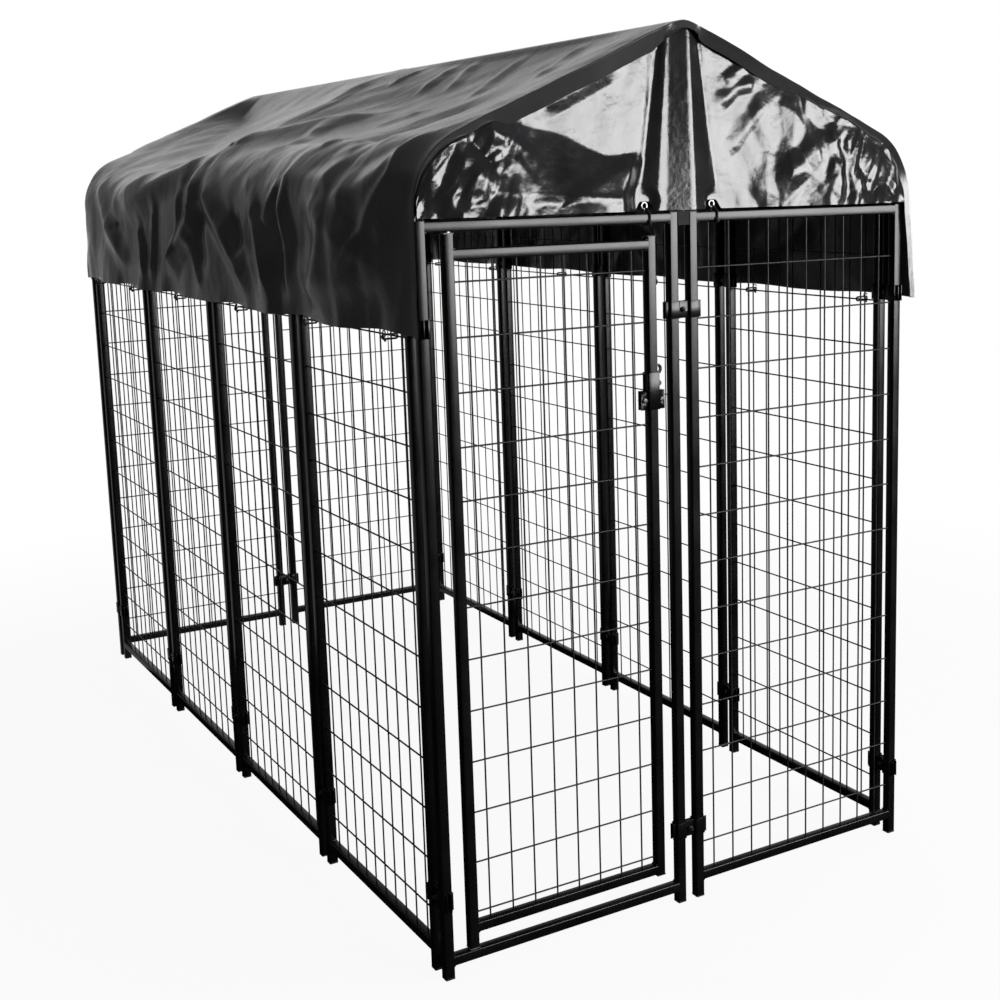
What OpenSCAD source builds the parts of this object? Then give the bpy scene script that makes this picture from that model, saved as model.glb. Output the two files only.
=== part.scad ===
// Outdoor dog kennel run: twelve bolted wire panels, a swinging gate and a pitched fabric cover.
// X is the width, Y the length with the gate at the negative end, Z up from the ground.

/* [Kennel] */
// Length over the front and rear posts
kennel_l = 2438; // [2000:1:3000]
// Height of the wall panels
wall_h = 1448; // [1420:1:1500]

/* [Square tube] */
// Width of the square tube
tube = 20; // [18:0.5:22]
// Wall of the square tube
tube_wall = 1.2; // [0.8:0.1:1.6]
// Clear gap between two neighbouring posts
post_gap = 27; // [25:0.5:32]

/* [Panels] */
// Underside of the bottom rail on a mesh panel
rail_z = 36; // [20:1:60]
// Underside of the bottom rail on the gate panel
gate_rail_z = 26; // [20:1:50]
// Height of the plastic sole under each post
foot_h = 4; // [2:0.5:8]
// Length of the plug of a foot cap
foot_plug = 14; // [8:1:20]

/* [Wire mesh] */
// Thickness of the wire
wire_d = 2.6; // [2:0.1:3.5]
// Distance between upright wires
wire_pitch = 50.8; // [40:0.1:60]
// Distance between level wires
wire_rise = 101.6; // [95:0.1:110]
// Height of the lowest level wire
wire_first = 118; // [90:1:140]
// How far upright and level wires are pressed into each other
wire_bite = 0.4; // [0.2:0.05:0.8]

/* [Post clamps] */
// Height of a clamp half
clamp_h = 34; // [24:1:50]
// Sheet thickness of a clamp half
clamp_t = 2; // [1.5:0.1:3]
// Length of the outer flange of a clamp half
clamp_flange = 7; // [3:0.5:10]
// Clear gap between the two halves of a clamp
clamp_gap = 7; // [5:0.5:9]
// Gap between a clamp half and the posts
clamp_fit = 0.15; // [0.05:0.05:0.3]
// Height of the lower clamps
clamp_low = 160; // [120:1:300]
// Height of the wall panels above the middle of the upper clamps
clamp_drop = 192; // [150:1:300]

/* [Fasteners] */
// Diameter of the bolts
bolt_d = 6; // [5:0.5:8]
// Width across the flats of heads and nuts
hex_af = 10; // [9:0.5:12]
// Thickness of a bolt head
head_h = 4; // [3:0.5:5]
// Thickness of a nut
nut_h = 5; // [4:0.5:6]
// Thread that stands out past a nut
thread_over = 5; // [2:0.5:8]
// Radial gap of a bolt in a clearance hole
bolt_fit = 0.3; // [0.2:0.05:0.6]
// Radial gap of a pivot or a nut on its bolt
run_fit = 0.05; // [0.02:0.01:0.1]

/* [Gate] */
// Clear gap between the corner post and the hinge stile
gate_gap_hinge = 35; // [25:1:50]
// Clear gap between the latch stile and its post
gate_gap_latch = 33; // [28:1:40]
// Clear gap between the upper gate rail and the panel's top rail
gate_gap_top = 31; // [24:1:60]
// Clear gap between the lower gate rail and the panel's bottom rail
gate_gap_low = 34; // [15:1:60]
// How far the latch stile stands above the upper gate rail
stile_over = 8; // [4:0.5:14]
// How far the latch stile stands below the lower gate rail
stile_under = 4; // [3:0.5:10]
// Height of the lowest level wire in the gate
gate_wire_first = 118; // [105:1:130]
// Diameter of the pivot pins
pin_d = 10; // [8:0.5:12]
// Length of a pivot pin inside its bushing
pin_reach = 30; // [20:1:40]
// Thickness of the collar on a pivot pin
collar_h = 1.6; // [1:0.1:3]
// Running gap between collar and bushing
pivot_gap = 0.4; // [0.3:0.05:0.8]
// Thickness of a plastic flange on a bushing or an end cap
flange_h = 2; // [1.5:0.1:3]
// Gap between a plastic plug and the tube around it
plug_fit = 0.05; // [0.02:0.01:0.15]

/* [Latch] */
// Lower edge of the latch bracket
latch_z = 1062; // [900:1:1120]
// Height of the gripping part of the bracket
latch_grip_h = 38; // [30:1:44]
// Height of the whole bracket
latch_h = 74; // [66:1:80]
// Length of the ears of the bracket
latch_ear = 16; // [14:0.5:18]
// Height of the lever's pivot above the bracket's lower edge
pivot_up = 50; // [46:1:56]
// Distance from the stile to the lever's pivot
pivot_out = 14; // [12:0.5:16]
// Length of the lever from its pivot to its ring
lever_l = 27; // [24:1:30]
// Outer radius of the lever's ring
ring_r = 11; // [9:0.5:12]
// Thickness of the lever
lever_t = 4; // [3:0.5:5]
// Gap between the lever and what lies beside it
lever_gap = 0.4; // [0.3:0.05:0.6]

/* [Roof frame] */
// Diameter of the roof tubes
rafter_d = 19; // [16:0.5:22]
// Wall of the roof tubes
rafter_wall = 1.2; // [0.8:0.1:1.6]
// Slope of the roof in degrees
roof_slope = 23.4; // [20:0.2:26]
// Radius of the rafters' shoulder bend
bend_r = 130; // [100:1:150]
// Height of the rafters' bend above the wall panels
shoulder_rise = 22; // [12:1:40]
// Wall of the ridge connectors
socket_wall = 2; // [1.5:0.1:3]
// Length of a connector's sockets from the ridge
socket_l = 60; // [40:1:80]
// Radial gap of a roof tube in its socket
socket_fit = 0.1; // [0.05:0.05:0.2]
// Rise of the swaged joint over the tube
swage = 0.3; // [0.3:0.05:0.4]
// Length of the swaged joint between bend and slope
swage_l = 8; // [4:1:12]
// Height of the wall panels above the screws that hold the rafter legs
leg_screw_drop = 48; // [35:1:70]
// Thickness of the plate under a king post
saddle_t = 3; // [2:0.5:5]
// Depth of the saddle's tongue between the posts
saddle_tongue = 25; // [15:1:40]

/* [Cover] */
// Thickness of the cover sheets
sheet_t = 2; // [1.5:0.1:3]
// Height of the wall panels above the wires that the valance is tied to
valance_drop = 212; // [180:1:230]
// Gap between the cover and the ridge connectors
skin_gap = 0.5; // [0.4:0.1:2]
// How far the roof sheet stands out past the end posts
eave_over = 6; // [5:0.5:15]
// Distance of the tied hem from the side posts
hem_tied = 13; // [11:0.5:25]
// How far the valance billows out between two ties
billow = 22; // [5:1:40]
// Depth of the folds in the valance
fold = 7; // [2:0.5:12]
// Sag of the slopes between two bows
roof_sag = 16; // [0:1:30]
// Depth of the wrinkles in the gable sheets
wrinkle = 4; // [0:0.5:5]
// Gap between a gable's hem and the top rail
hem_gap = 4; // [3.5:0.5:10]
// Gap between a gable sheet and the roof sheet
seam_gap = 0.6; // [0.5:0.05:0.9]

/* [Ties] */
// Mean radius of a hem ring
eye_r = 6; // [5.5:0.25:8]
// Wire thickness of a hem ring
eye_d = 2.5; // [2:0.1:3]
// Thickness of the elastic cord
cord_d = 4; // [3:0.25:4]
// Gap between a tie and what it goes round
tie_gap = 0.3; // [0.2:0.05:0.5]
// Distance of the gable ties from the middle
gable_tie_x = 81; // [78:1:90]

/* [Hidden] */
$fn = 48;
coat = [0.03, 0.03, 0.032];
plastic = [0.02, 0.02, 0.02];
zinc = [0.35, 0.35, 0.36];
nylon = [0.08, 0.08, 0.08];
fabric = [0.06, 0.06, 0.065];
wire_grey = [0.05, 0.05, 0.052];

// Plan of the walls
post_pitch = tube + post_gap;
panel_w = (kennel_l - tube - 5*post_pitch)/4;
end_y = (kennel_l - tube)/2;
side_x = panel_w + post_pitch/2;
tube_in = tube - 2*tube_wall;
clear_w = panel_w - tube;
bay = panel_w + post_pitch;

// Local start of panel k on a wall of n panels, measured at the post's centre
function panel_start(k, n) = -(n*panel_w + (n - 1)*post_pitch)/2 + k*bay;

// Upright wires in an opening of width w: their count and the place of the first
function wire_count(w) = floor(w/wire_pitch);
function wire_edge(w) = (w - (wire_count(w) - 1)*wire_pitch)/2;

// Level wire of the side walls that the valance is tied to, and the hem just above its rings
tie_wire = round((wall_h - valance_drop - wire_first)/wire_rise);
tie_z = wire_first + tie_wire*wire_rise;
hem_z = tie_z + 2*eye_r + eye_d/2 + tie_gap;
hem_x = side_x + tube/2 + hem_tied;

// Heights that follow the walls
clamp_high = wall_h - clamp_drop;
leg_screw_z = wall_h - leg_screw_drop;

// Gate
hinge_x = -side_x + tube + gate_gap_hinge;
latch_x = -post_pitch/2 - tube - gate_gap_latch;
gate_low = gate_rail_z + tube + gate_gap_low;
gate_high = wall_h - 2*tube - gate_gap_top;
stile_gap = collar_h + pivot_gap + flange_h;
stile_low = gate_rail_z + tube + stile_gap;
stile_high = wall_h - tube - stile_gap;
latch_low = gate_low - stile_under + flange_h;
latch_high = gate_high + tube + stile_over - flange_h;

// Latch: places are measured from the centre of the latch stile
grip = tube/2 + clamp_fit;
ear_y = clamp_gap/2;
bracket_back = grip + clamp_t;
pivot_x = tube/2 + pivot_out;
pivot_z = latch_z + pivot_up;
pivot_hole = bolt_d/2 + run_fit;
lever_y = bracket_back + lever_gap;
lever_w = bolt_d + 6;
ear_bolt_x = grip + clamp_t + latch_ear/2;
ear_bolt_z = latch_z + latch_grip_h/2;

// Roof frame
bow_y = end_y - post_pitch/2;
socket_r = rafter_d/2 + socket_fit + socket_wall;
skin = socket_r + skin_gap;
bend_turn = 90 - roof_slope;
bend_x = side_x - bend_r;
bend_z = wall_h + shoulder_rise;
slope_x = bend_x + bend_r*cos(bend_turn);
ridge_z = bend_z + bend_r*sin(bend_turn) + slope_x*tan(roof_slope);
slope_l = slope_x/cos(roof_slope);
leg_low = clamp_high + clamp_h/2;
leg_l = bend_z - leg_low;
tube_stop = rafter_d/2 + socket_fit + socket_wall;
ridge_end = end_y + rafter_d/2;
king_low = wall_h + saddle_t;

// Ties along a side: bay and gap between upright wires, counted from the middle of the wall outwards
last_gap = wire_count(clear_w) - 2;
side_tie_gaps = [[0, floor(last_gap/2) - 1], [1, 0], [1, last_gap]];
side_ties = [for (g = side_tie_gaps)
    post_pitch/2 + g[0]*bay + tube/2 + wire_edge(clear_w) + (g[1] + 0.5)*wire_pitch];

// Columns of the roof sheet along Y: the ties, with the lengths between them split evenly
eave_y = end_y + tube/2 + eave_over - 1;
tie_stops = [-eave_y, -side_ties[2], -side_ties[1], -side_ties[0], side_ties[0], side_ties[1], side_ties[2], eave_y];
splits = [2, 4, 4, 4, 4, 4, 2];
columns = [for (i = [0:6]) for (j = [0:splits[i] - 1]) [i, j/splits[i], j], [7, 0, 0]];
function column_y(c) = c[0] == 7 ? eave_y : tie_stops[c[0]] + c[1]*(tie_stops[c[0] + 1] - tie_stops[c[0]]);
function column_out(c) = c[0] == 0 ? billow*(1 - c[1]) : c[0] == 6 ? billow*c[1] : c[0] == 7 ? billow
    : billow*sin(180*c[1]) + (c[2] == 0 ? 0 : fold*(c[2] == 2 ? 1 : -1));
function bow_sag(y) = abs(y) > side_ties[2] - 1 ? 0 : -roof_sag*pow(sin(180*abs(y)/bow_y), 2);

// Rows of the roof sheet, from the ridge down to the hem: slope share, bend angle, valance share
slope_rows = [0, 0.25, 0.5, 0.75];
bend_rows = [bend_turn, bend_turn*0.75, bend_turn*0.5, bend_turn*0.25, 5];
drop_rows = [0.33, 0.67, 1];
row_n = len(slope_rows) + len(bend_rows) + len(drop_rows);

// Point of the sheet's inner side, moved out by d, at row r; out and sag move it at this column
function bend_point(a, d) = [bend_x + (bend_r + skin + d)*cos(a), bend_z + (bend_r + skin + d)*sin(a)];
function slope_point(s, d) = let(foot = bend_point(bend_turn, d))
    [foot[0]*s, foot[1] + foot[0]*(1 - s)*tan(roof_slope)];
function drop_point(v, d) = let(top = bend_point(5, d))
    [top[0] + (hem_x + d - sheet_t/2 - top[0])*v, top[1] + (hem_z - top[1])*v];
function row_point(r, d, out, sag) =
    r < len(slope_rows) ? slope_point(slope_rows[r], d) + [0, sag*sin(180*slope_rows[r])]
    : r < len(slope_rows) + len(bend_rows) ? bend_point(bend_rows[r - len(slope_rows)], d)
    : let(v = drop_rows[r - len(slope_rows) - len(bend_rows)]) drop_point(v, d) + [out*v, 0];
function section(d, out, sag) = [
    for (r = [row_n - 1:-1:1]) let(p = row_point(r, d, out, sag)) [-p[0], p[1]],
    for (r = [0:row_n - 1]) row_point(r, d, out, sag)];

// Places a wall's own frame: X along the wall, -Y outwards
module on_front() { translate([0, -end_y, 0]) children(); }
module on_rear() { translate([0, end_y, 0]) rotate(180) children(); }
module on_left() { translate([-side_x, 0, 0]) rotate(-90) children(); }
module on_right() { translate([side_x, 0, 0]) rotate(90) children(); }

// A box centred on X and Y
module upright(w, d, h) { translate([-w/2, -d/2, 0]) cube([w, d, h]); }

// A round bar along Y from y = 0 to y = l
module bar_y(d, l) { rotate([-90, 0, 0]) cylinder(d = d, h = l); }

// A hexagon along Y, of width across flats af
module hex_y(af, l) { rotate([-90, 0, 0]) cylinder(d = af/cos(30), h = l, $fn = 6); }

// A welded frame of square tube: two posts and two rails; screw marks a post that a leg screw goes through
module panel_frame(low, screw = -1) {
    color(coat) difference() {
        union() {
            for (x = [0, panel_w]) translate([x, 0, foot_h]) upright(tube, tube, wall_h - foot_h);
            for (z = [low, wall_h - tube]) translate([0, -tube/2, z]) cube([panel_w, tube, tube]);
        }
        for (x = [0, panel_w])
            translate([x, 0, foot_h - 1]) upright(tube_in, tube_in, wall_h - tube_wall - foot_h + 1);
        for (z = [low, wall_h - tube])
            translate([0, -tube_in/2, z + tube_wall]) cube([panel_w, tube_in, tube_in]);
        if (screw >= 0)
            translate([screw*panel_w - tube, 0, leg_screw_z]) rotate([0, 90, 0])
                cylinder(r = bolt_d/2 + bolt_fit, h = 2*tube);
    }
}

// A welded wire grid between x = 0 and x = w, with its level wires on y = 0
module wire_grid(w, low, high, first) {
    color(wire_grey) union() {
        for (i = [0:wire_count(w) - 1])
            translate([wire_edge(w) + i*wire_pitch - wire_d/2, wire_d/2 - wire_bite, low])
                cube([wire_d, wire_d, high - low]);
        for (z = [first:wire_rise:high - wire_d])
            translate([0, -wire_d/2, z - wire_d/2]) cube([w, wire_d, wire_d]);
    }
}
module panel_mesh() { translate([tube/2, 0, 0]) wire_grid(clear_w, rail_z + tube, wall_h - tube, wire_first); }

module end_panel(k) { translate([panel_start(k, 2), 0, 0]) children(); }
module side_panel(k) { translate([panel_start(k, 4), 0, 0]) children(); }

module gate_panel_frame() {
    difference() {
        on_front() end_panel(0) panel_frame(gate_rail_z);
        translate([hinge_x, -end_y, gate_rail_z + tube/2]) cylinder(r = pin_d/2 + run_fit, h = wall_h - 2*tube);
    }
}
module front_panel_frame() { on_front() end_panel(1) panel_frame(rail_z); }
module rear_panel_frame_left() { on_rear() end_panel(1) panel_frame(rail_z); }
module rear_panel_frame_right() { on_rear() end_panel(0) panel_frame(rail_z); }
module left_panel_frame_1() { on_left() side_panel(3) panel_frame(rail_z, 1); }
module left_panel_frame_2() { on_left() side_panel(2) panel_frame(rail_z, 0); }
module left_panel_frame_3() { on_left() side_panel(1) panel_frame(rail_z); }
module left_panel_frame_4() { on_left() side_panel(0) panel_frame(rail_z, 0); }
module right_panel_frame_1() { on_right() side_panel(0) panel_frame(rail_z, 0); }
module right_panel_frame_2() { on_right() side_panel(1) panel_frame(rail_z, 1); }
module right_panel_frame_3() { on_right() side_panel(2) panel_frame(rail_z); }
module right_panel_frame_4() { on_right() side_panel(3) panel_frame(rail_z, 1); }

module front_panel_mesh() { on_front() end_panel(1) panel_mesh(); }
module rear_panel_mesh_left() { on_rear() end_panel(1) panel_mesh(); }
module rear_panel_mesh_right() { on_rear() end_panel(0) panel_mesh(); }
module left_panel_mesh_1() { on_left() side_panel(3) panel_mesh(); }
module left_panel_mesh_2() { on_left() side_panel(2) panel_mesh(); }
module left_panel_mesh_3() { on_left() side_panel(1) panel_mesh(); }
module left_panel_mesh_4() { on_left() side_panel(0) panel_mesh(); }
module right_panel_mesh_1() { on_right() side_panel(0) panel_mesh(); }
module right_panel_mesh_2() { on_right() side_panel(1) panel_mesh(); }
module right_panel_mesh_3() { on_right() side_panel(2) panel_mesh(); }
module right_panel_mesh_4() { on_right() side_panel(3) panel_mesh(); }

// One plastic cap: a chamfered sole and a plug that goes up into the post
module foot_cap() {
    half = tube/2;
    cut = tube/10;
    linear_extrude(foot_h)
        polygon([[-half + cut, -half], [half - cut, -half], [half, -half + cut], [half, half - cut],
                 [half - cut, half], [-half + cut, half], [-half, half - cut], [-half, -half + cut]]);
    translate([0, 0, foot_h]) upright(tube_in - 2*plug_fit, tube_in - 2*plug_fit, foot_plug);
}
module foot_caps() {
    color(plastic) {
        on_front() for (k = [0, 1], e = [0, 1]) translate([panel_start(k, 2) + e*panel_w, 0, 0]) foot_cap();
        on_rear() for (k = [0, 1], e = [0, 1]) translate([panel_start(k, 2) + e*panel_w, 0, 0]) foot_cap();
        on_left() for (k = [0:3], e = [0, 1]) translate([panel_start(k, 4) + e*panel_w, 0, 0]) foot_cap();
        on_right() for (k = [0:3], e = [0, 1]) translate([panel_start(k, 4) + e*panel_w, 0, 0]) foot_cap();
    }
}

// Places something at every clamp: the middle of the two end walls, and five places along each side
module at_clamps() {
    for (z = [clamp_low, clamp_high]) translate([0, 0, z]) {
        on_front() children();
        on_rear() children();
        for (k = [0:4]) {
            on_left() translate([(k - 2)*bay, 0, 0]) children();
            on_right() translate([(k - 2)*bay, 0, 0]) children();
        }
    }
}

// One clamp half: bent sheet that hugs two posts, with a sunk web between them and a flange on each end
module clamp_half() {
    out_x = post_pitch/2 + grip;
    in_x = post_pitch/2 - grip;
    half = [[0, -ear_y], [in_x, -ear_y], [in_x, -grip], [out_x, -grip], [out_x, -ear_y],
            [out_x + clamp_t + clamp_flange, -ear_y], [out_x + clamp_t + clamp_flange, -ear_y - clamp_t],
            [out_x + clamp_t, -ear_y - clamp_t], [out_x + clamp_t, -grip - clamp_t],
            [in_x - clamp_t, -grip - clamp_t], [in_x - clamp_t, -ear_y - clamp_t], [0, -ear_y - clamp_t]];
    n = len(half);
    difference() {
        translate([0, 0, -clamp_h/2]) linear_extrude(clamp_h)
            polygon(concat(half, [for (i = [n - 2:-1:1]) [-half[i][0], half[i][1]]]));
        translate([0, -2*tube, 0]) bar_y(bolt_d + 2*bolt_fit, 4*tube);
    }
}
module clamp_outer_halves() { color(coat) at_clamps() clamp_half(); }
module clamp_inner_halves() { color(coat) at_clamps() rotate(180) clamp_half(); }

// The bolt's head is inside the kennel, the nut outside
web_y = ear_y + clamp_t;
module clamp_bolt() {
    translate([0, -web_y - nut_h - thread_over, 0]) bar_y(bolt_d, 2*web_y + nut_h + thread_over);
    translate([0, web_y, 0]) hex_y(hex_af, head_h);
}
module nut() {
    difference() {
        hex_y(hex_af, nut_h);
        translate([0, -nut_h, 0]) bar_y(bolt_d + 2*run_fit, 3*nut_h);
    }
}
module clamp_bolts() { color(zinc) at_clamps() clamp_bolt(); }
module clamp_nuts() { color(zinc) at_clamps() translate([0, -web_y - nut_h, 0]) nut(); }

// Gate frame: hinge stile over the full height, latch stile, and two rails between them
module gate_frame() {
    span = latch_x - hinge_x;
    color(coat) translate([hinge_x, -end_y, 0]) difference() {
        union() {
            translate([0, 0, stile_low]) upright(tube, tube, stile_high - stile_low);
            translate([span, 0, latch_low]) upright(tube, tube, latch_high - latch_low);
            for (z = [gate_low, gate_high]) translate([0, -tube/2, z]) cube([span, tube, tube]);
        }
        translate([0, 0, stile_low - 1]) upright(tube_in, tube_in, stile_high - stile_low + 2);
        translate([span, 0, latch_low - 1]) upright(tube_in, tube_in, latch_high - latch_low + 2);
        for (z = [gate_low, gate_high])
            translate([0, -tube_in/2, z + tube_wall]) cube([span, tube_in, tube_in]);
    }
}
module gate_mesh() {
    translate([hinge_x + tube/2, -end_y, 0])
        wire_grid(latch_x - hinge_x - tube, gate_low + tube, gate_high, gate_wire_first);
}

// A pivot pin stands on the inside of its rail, passes the rail's wall and carries a collar
module pivot_pin() {
    pin_l = tube - tube_wall + stile_gap + pin_reach;
    cylinder(d = pin_d, h = pin_l);
    translate([0, 0, tube - tube_wall]) cylinder(d = tube - 3, h = collar_h);
}
module gate_pivot_pins() {
    color(zinc) {
        translate([hinge_x, -end_y, gate_rail_z + tube_wall]) pivot_pin();
        translate([hinge_x, -end_y, wall_h - tube_wall]) mirror([0, 0, 1]) pivot_pin();
    }
}

// A plug with a flange for the open end of a tube; hole is its bore's radius, or 0
module end_plug(l, hole) {
    difference() {
        union() {
            translate([0, 0, -flange_h]) upright(tube, tube, flange_h);
            upright(tube_in - 2*plug_fit, tube_in - 2*plug_fit, l);
        }
        if (hole > 0) translate([0, 0, -2*flange_h]) cylinder(r = hole, h = l + 4*flange_h);
    }
}
module gate_bushings() {
    bush_l = pin_reach + 2;
    color(nylon) {
        translate([hinge_x, -end_y, stile_low]) end_plug(bush_l, pin_d/2 + run_fit);
        translate([hinge_x, -end_y, stile_high]) mirror([0, 0, 1]) end_plug(bush_l, pin_d/2 + run_fit);
    }
}
module gate_stile_caps() {
    cap_l = stile_over - flange_h;
    color(plastic) {
        translate([latch_x, -end_y, latch_high]) mirror([0, 0, 1]) end_plug(cap_l, 0);
        translate([latch_x, -end_y, latch_low]) end_plug(stile_under - flange_h, 0);
    }
}

// Latch parts are drawn round the latch stile, with z as on the kennel
module on_latch() { translate([latch_x, -end_y, 0]) children(); }

// Bent sheet round one side of the stile, with an ear on each side for the bracket's bolts
module latch_half(h) {
    difference() {
        union() {
            translate([0, 0, latch_z]) linear_extrude(latch_grip_h)
                polygon([[-grip, -ear_y], [-grip, -grip], [grip, -grip], [grip, -ear_y],
                         [grip + clamp_t + latch_ear, -ear_y], [grip + clamp_t + latch_ear, -ear_y - clamp_t],
                         [grip + clamp_t, -ear_y - clamp_t], [grip + clamp_t, -grip - clamp_t],
                         [-grip - clamp_t, -grip - clamp_t], [-grip - clamp_t, -ear_y - clamp_t],
                         [-grip - clamp_t - latch_ear, -ear_y - clamp_t], [-grip - clamp_t - latch_ear, -ear_y]]);
            translate([-grip - clamp_t, -grip - clamp_t, latch_z]) cube([2*grip + 2*clamp_t, clamp_t, h]);
        }
        for (x = [-ear_bolt_x, ear_bolt_x])
            translate([x, -2*tube, ear_bolt_z]) bar_y(bolt_d + 2*bolt_fit, 4*tube);
    }
}
module latch_bracket_front() {
    color(coat) on_latch() {
        union() {
            latch_half(latch_h);
            for (x = [-grip - clamp_t, grip])
                translate([x, -grip - clamp_t, latch_z]) cube([clamp_t, grip + clamp_t - ear_y, latch_h]);
        }
    }
}
module latch_bracket_rear() {
    color(coat) on_latch() difference() {
        union() {
            rotate(180) latch_half(latch_grip_h);
            translate([-grip - clamp_t, grip, latch_z])
                cube([grip + clamp_t + pivot_x, clamp_t, latch_h]);
            translate([pivot_x, grip, pivot_z]) bar_y(lever_w, clamp_t);
        }
        translate([pivot_x, 0, pivot_z]) bar_y(2*pivot_hole, 2*tube);
        translate([bracket_back, grip - 1, pivot_z + lever_w/2]) cube([2*pivot_out, clamp_t + 2, latch_h]);
        translate([bracket_back, grip - 1, pivot_z - lever_w/2 - latch_h]) cube([2*pivot_out, clamp_t + 2, latch_h]);
    }
}
module latch_bolts() {
    color(zinc) on_latch() for (x = [-ear_bolt_x, ear_bolt_x]) translate([x, 0, ear_bolt_z]) {
        translate([0, -web_y, 0]) bar_y(bolt_d, 2*web_y + nut_h + 1);
        translate([0, -web_y - head_h, 0]) hex_y(hex_af, head_h);
    }
}
module latch_nuts() {
    color(zinc) on_latch() for (x = [-ear_bolt_x, ear_bolt_x]) translate([x, web_y, ear_bolt_z]) nut();
}

// Flat lever, shown lifted: an eye on the pivot, an arm, and a ring that drops behind the gate post
module latch_lever() {
    color(coat) on_latch() translate([pivot_x, lever_y, pivot_z]) difference() {
        union() {
            bar_y(lever_w, lever_t);
            translate([-lever_w/2 + 2, 0, 0]) cube([lever_w - 4, lever_t, lever_l]);
            translate([0, 0, lever_l]) bar_y(2*ring_r, lever_t);
        }
        translate([0, -tube, 0]) bar_y(2*pivot_hole, 2*tube);
        translate([0, -tube, lever_l]) bar_y(ring_r, 2*tube);
    }
}
module latch_pivot_bolt() {
    color(zinc) on_latch() translate([pivot_x, 0, pivot_z]) {
        translate([0, grip - head_h, 0]) hex_y(hex_af, head_h);
        translate([0, grip, 0]) bar_y(bolt_d, clamp_t + 2*lever_gap + lever_t + nut_h + 1);
    }
}
module latch_pivot_nut() {
    color(zinc) on_latch() translate([pivot_x, lever_y + lever_t + lever_gap, pivot_z]) nut();
}

// A bent rafter on the +X side in the plane y = 0: leg, shoulder bend and slope, with a swaged joint between
// bend and slope; hole is the leg screw's side
module rafter(hole) {
    bore = rafter_d - 2*rafter_wall;
    color(coat) translate([bend_x, 0, bend_z]) difference() {
        union() {
            translate([bend_r, 0, -leg_l]) cylinder(d = rafter_d, h = leg_l);
            rotate([90, 0, 0]) rotate_extrude(angle = bend_turn) translate([bend_r, 0]) circle(d = rafter_d);
            rotate([0, -bend_turn, 0]) translate([bend_r, 0, 0]) {
                cylinder(d = rafter_d, h = slope_l - tube_stop);
                translate([0, 0, -swage_l/2]) cylinder(d = rafter_d + 2*swage, h = swage_l);
            }
        }
        translate([bend_r, 0, -leg_l - 1]) cylinder(d = bore, h = leg_l + 1);
        rotate([90, 0, 0]) rotate_extrude(angle = bend_turn) translate([bend_r, 0]) circle(d = bore);
        rotate([0, -bend_turn, 0]) translate([bend_r, 0, 0]) {
            cylinder(d = bore, h = slope_l);
            translate([0, 0, -swage_l/2]) cylinder(d = bore + 2*swage, h = swage_l);
        }
        translate([bend_r, hole < 0 ? -rafter_d : 0, leg_screw_z - bend_z]) bar_y(bolt_d + 2*bolt_fit, rafter_d);
    }
}
module front_left_rafter() { translate([0, -bow_y, 0]) mirror([1, 0, 0]) rafter(1); }
module front_right_rafter() { translate([0, -bow_y, 0]) rafter(1); }
module middle_left_rafter() { mirror([1, 0, 0]) rafter(-1); }
module middle_right_rafter() { rafter(-1); }
module rear_left_rafter() { translate([0, bow_y, 0]) mirror([1, 0, 0]) rafter(-1); }
module rear_right_rafter() { translate([0, bow_y, 0]) rafter(-1); }

// Screws from the side posts into the legs: head on the post's far side, point inside the leg
module leg_screw() {
    tip = rafter_d/2 - rafter_wall - 4;
    translate([0, tip, 0]) bar_y(bolt_d, post_gap/2 + tube - tip);
    translate([0, post_gap/2 + tube, 0]) hex_y(hex_af, head_h);
}
module rafter_screws() {
    color(zinc) for (s = [-1, 1]) translate([s*side_x, 0, leg_screw_z]) {
        translate([0, -bow_y, 0]) leg_screw();
        mirror([0, 1, 0]) leg_screw();
        translate([0, bow_y, 0]) mirror([0, 1, 0]) leg_screw();
    }
}

// The two ridge tubes meet inside the middle connector
module ridge_tube() {
    difference() {
        bar_y(rafter_d, ridge_end - 0.5);
        translate([0, -1, 0]) bar_y(rafter_d - 2*rafter_wall, ridge_end + 1);
    }
}
module ridge_tube_front() { color(coat) translate([0, -ridge_end, ridge_z]) ridge_tube(); }
module ridge_tube_rear() { color(coat) translate([0, 0.5, ridge_z]) ridge_tube(); }

// A connector: a sleeve along the ridge, from y0 to y1, and a socket down each slope
module ridge_connector(y0, y1) {
    difference() {
        union() {
            translate([0, y0, 0]) bar_y(2*socket_r, y1 - y0);
            for (s = [-1, 1]) rotate([0, s*(90 + roof_slope), 0]) cylinder(r = socket_r, h = socket_l);
        }
        translate([0, y0 - 1, 0]) bar_y(rafter_d + 2*socket_fit, y1 - y0 + 2);
        for (s = [-1, 1]) rotate([0, s*(90 + roof_slope), 0])
            translate([0, 0, tube_stop - 0.1]) cylinder(r = rafter_d/2 + socket_fit, h = socket_l);
    }
}
module ridge_connectors() {
    near = socket_r + 1;
    color(plastic) translate([0, 0, ridge_z]) {
        translate([0, -bow_y, 0]) ridge_connector(-near, socket_l/2);
        ridge_connector(-socket_l/2, socket_l/2);
        translate([0, bow_y, 0]) ridge_connector(-socket_l/2, near);
    }
}

// A king post stands on its saddle and is cut to cradle the ridge tube
module king_post() {
    color(coat) difference() {
        translate([0, 0, king_low]) cylinder(d = rafter_d, h = ridge_z - 2 - king_low);
        translate([0, 0, king_low - 1]) cylinder(d = rafter_d - 2*rafter_wall, h = ridge_z - king_low);
        translate([0, -rafter_d, ridge_z]) bar_y(rafter_d + 2*socket_fit, 2*rafter_d);
    }
}
module front_king_post() { translate([0, -end_y, 0]) king_post(); }
module rear_king_post() { translate([0, end_y, 0]) king_post(); }

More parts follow.
